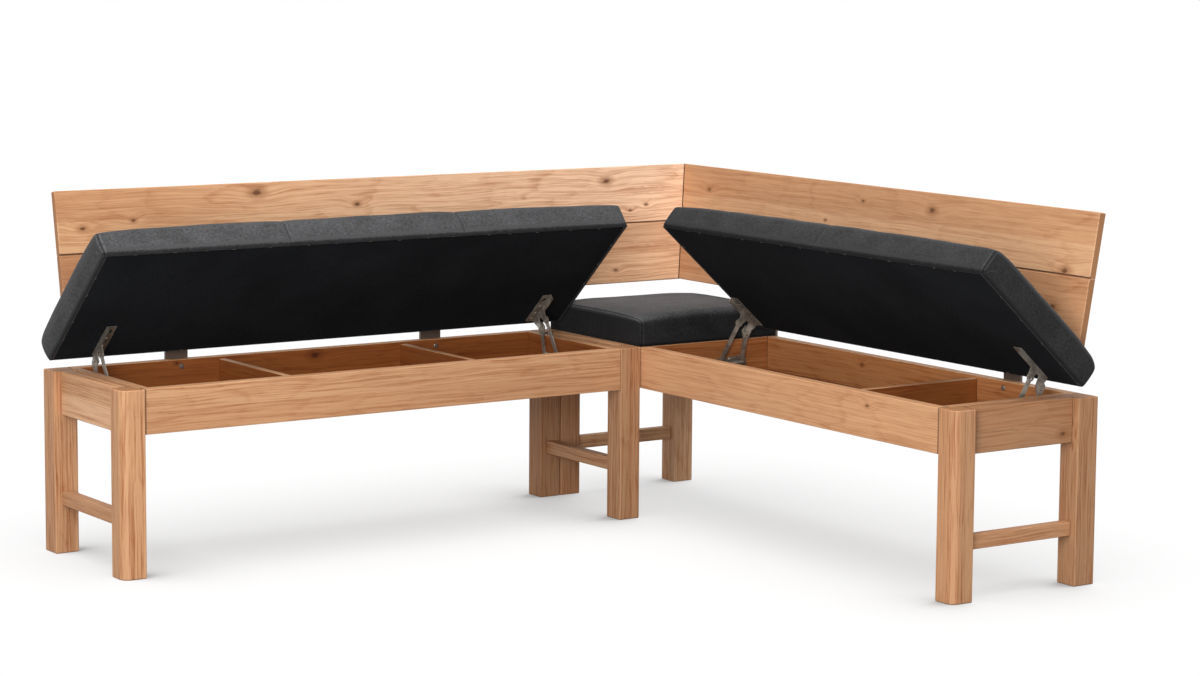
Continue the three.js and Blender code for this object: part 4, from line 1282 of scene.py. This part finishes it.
CAMERA_PLACE = (-3685.4 * MM, -5583.7 * MM, 1401.6 * MM)
CAMERA_YAW = 0.6170
CAMERA_PITCH = -0.1194
CAMERA_ROLL = 0.0104
CAMERA_SHIFT = (-0.05568, -0.03507)
SENSOR_MM = 36.0
FARTHEST_SEEN = 200.0

# The square lamps: place, target, side and power in watts. They light all but the floor
PANELS = {
    "key_panel": ((-3.4, -3.2, 2.6), (0.0, 0.0, 0.4), 2.6, 150),
    "fill_panel": ((-4.0, -4.3, 0.8), (0.0, 0.0, 0.3), 2.4, 175),
}
# The distant lamp: azimuth, elevation and spread in degrees, and power in watts a square metre
TOP_LIGHT = (235, 82, 62, 2.7)
# The strength of the world's light where it is not looked at
WORLD_LIGHT = 0.14
# How far beside a foot the floor is shaded, how steeply the shade leans outwards from the middle, and
# how open a place on the floor is at the ends of the range of its own light
SHADE_REACH = 0.26
SHADE_TILT = 4.0
SHADE_SAMPLES = 12
OPEN_RANGE = (0.3, 1.0)
OWN_LIGHT_RANGE = (0.24, 0.69)


class BENCH_OT_stage(bpy.types.Operator):
    """Make the floor, the lights and the camera"""

    bl_idname = "bench.stage"
    bl_label = "Stage"

    def execute(self, context):
        scene = context.scene
        studio = scene.bench_studio
        scene.view_settings.view_transform = "Standard"
        self.add_camera(scene, studio)
        floor = self.add_floor(studio)
        self.add_world(scene)
        for name, facts in PANELS.items():
            self.leave_out(self.add_panel(name, *facts), floor)
        self.add_top_light(*TOP_LIGHT)
        return {"FINISHED"}

    def add_camera(self, scene, studio):
        """The camera, which looks ahead by its yaw and pitch, with its right turned by its roll."""
        ahead = Vector((
            math.sin(CAMERA_YAW) * math.cos(CAMERA_PITCH),
            math.cos(CAMERA_YAW) * math.cos(CAMERA_PITCH),
            math.sin(CAMERA_PITCH),
        ))
        level = Vector((math.cos(CAMERA_YAW), -math.sin(CAMERA_YAW), 0.0))
        right = math.cos(CAMERA_ROLL) * level + math.sin(CAMERA_ROLL) * level.cross(ahead)
        turn = Matrix((right, right.cross(ahead), -ahead)).transposed().to_4x4()
        data = bpy.data.cameras.new("photo_camera")
        data.lens = studio.lens
        data.sensor_width = SENSOR_MM
        data.shift_x, data.shift_y = CAMERA_SHIFT
        data.clip_end = FARTHEST_SEEN
        camera = bpy.data.objects.new("photo_camera", data)
        camera.matrix_world = Matrix.Translation(CAMERA_PLACE) @ turn
        scene.collection.objects.link(camera)
        scene.camera = camera

    def add_floor(self, studio):
        """A square floor whose own light, for the camera alone, lifts its unshaded parts to white.

        Beside the feet that light is dimmed into a painted shadow, on the side towards the middle of the
        bench.
        """
        points = np.array([[-1, -1, 0], [1, -1, 0], [1, 1, 0], [-1, 1, 0]]) * studio.floor_size / 2
        material, tree = start_material("studio_floor")
        outward = object_place(tree).vector("MULTIPLY", (SHADE_TILT, 0.0, 0.0))
        facing = outward.vector("ADD", (0.0, 0.0, 1.0)).vector("NORMALIZE")
        around = {"Distance": SHADE_REACH, "Normal": facing}
        openness = facing.next("ShaderNodeAmbientOcclusion", around, "AO", samples=SHADE_SAMPLES)
        add_shader(tree, {
            "Base Color": studio.floor,
            "Roughness": 0.9,
            "Specular IOR Level": 0.1,
            "Emission Color": WHITE,
            "Emission Strength": seen_rays(tree) * openness.remap(*OPEN_RANGE, *OWN_LIGHT_RANGE),
        })
        floor = new_piece("studio_floor", points, [[0, 1, 2, 3]], material)
        return floor

    def add_world(self, scene):
        """White where the camera, gloss or glass looks at it, and an even pale light for the rest."""
        world = bpy.data.worlds.new("studio")
        scene.world = world
        tree = emptied_tree(world)
        strength = seen_rays(tree).remap(0.0, 1.0, WORLD_LIGHT, 1.0, "LINEAR")
        shade = strength.next("ShaderNodeBackground", {0: WHITE, 1: strength})
        add_node(tree, "ShaderNodeOutputWorld", {0: shade})

    def add_lamp(self, name, kind, power, matrix):
        """A lamp of a kind and a power, placed and turned by a matrix."""
        lamp = bpy.data.objects.new(name, bpy.data.lights.new(name, kind))
        lamp.data.energy = power
        lamp.matrix_world = matrix
        bpy.context.scene.collection.objects.link(lamp)
        return lamp

    def add_panel(self, name, place, target, size, power):
        """A square soft light at a place, turned to its target."""
        turn = (Vector(target) - Vector(place)).to_track_quat("-Z", "Y").to_matrix().to_4x4()
        lamp = self.add_lamp(name, "AREA", power, Matrix.Translation(place) @ turn)
        lamp.data.size = size
        return lamp

    def leave_out(self, lamp, floor):
        """Keeps a lamp off the floor, so that only the light from above casts shadows there."""
        lit = bpy.data.collections.new(f"{lamp.name}_receivers")
        lit.objects.link(floor)
        lamp.light_linking.receiver_collection = lit
        lit.collection_objects[0].light_linking.link_state = "EXCLUDE"

    def add_top_light(self, azimuth, elevation, spread, power):
        """A wide distant light from above."""
        flat = math.radians(azimuth)
        rise = math.radians(elevation)
        source = Vector((math.cos(flat) * math.cos(rise), math.sin(flat) * math.cos(rise), math.sin(rise)))
        lamp = self.add_lamp("top_light", "SUN", power, source.to_track_quat("Z", "Y").to_matrix().to_4x4())
        lamp.data.angle = math.radians(spread)


class BENCH_PT_panel(bpy.types.Panel):
    """Lists the bench's groups of pieces"""

    bl_label = "Corner bench"
    bl_idname = "BENCH_PT_panel"
    bl_space_type = "VIEW_3D"
    bl_region_type = "UI"
    bl_category = "Bench"

    def draw(self, context):
        for operator in OPERATORS:
            self.layout.operator(operator.bl_idname)


GROUPS = {
    "bench_timber": BenchTimber,
    "bench_upholstery": BenchUpholstery,
    "bench_metal": BenchMetal,
    "bench_studio": BenchStudio,
}
OPERATORS = (BENCH_OT_stage, BENCH_OT_timber, BENCH_OT_back, BENCH_OT_pads, BENCH_OT_fittings)
CLASSES = (*GROUPS.values(), *OPERATORS, BENCH_PT_panel)


def register():
    """Makes the bench's settings, operators and panel known."""
    for item in CLASSES:
        bpy.utils.register_class(item)
    for name, group in GROUPS.items():
        setattr(bpy.types.Scene, name, PointerProperty(type=group))


def unregister():
    """Takes the bench's settings, operators and panel away."""
    for name in GROUPS:
        delattr(bpy.types.Scene, name)
    for item in reversed(CLASSES):
        bpy.utils.unregister_class(item)


def main():
    """Makes every piece of the bench."""
    register()
    bpy.ops.bench.stage()
    bpy.ops.bench.timber()
    bpy.ops.bench.back()
    bpy.ops.bench.pads()
    bpy.ops.bench.fittings()


if __name__ == "__main__":
    main()
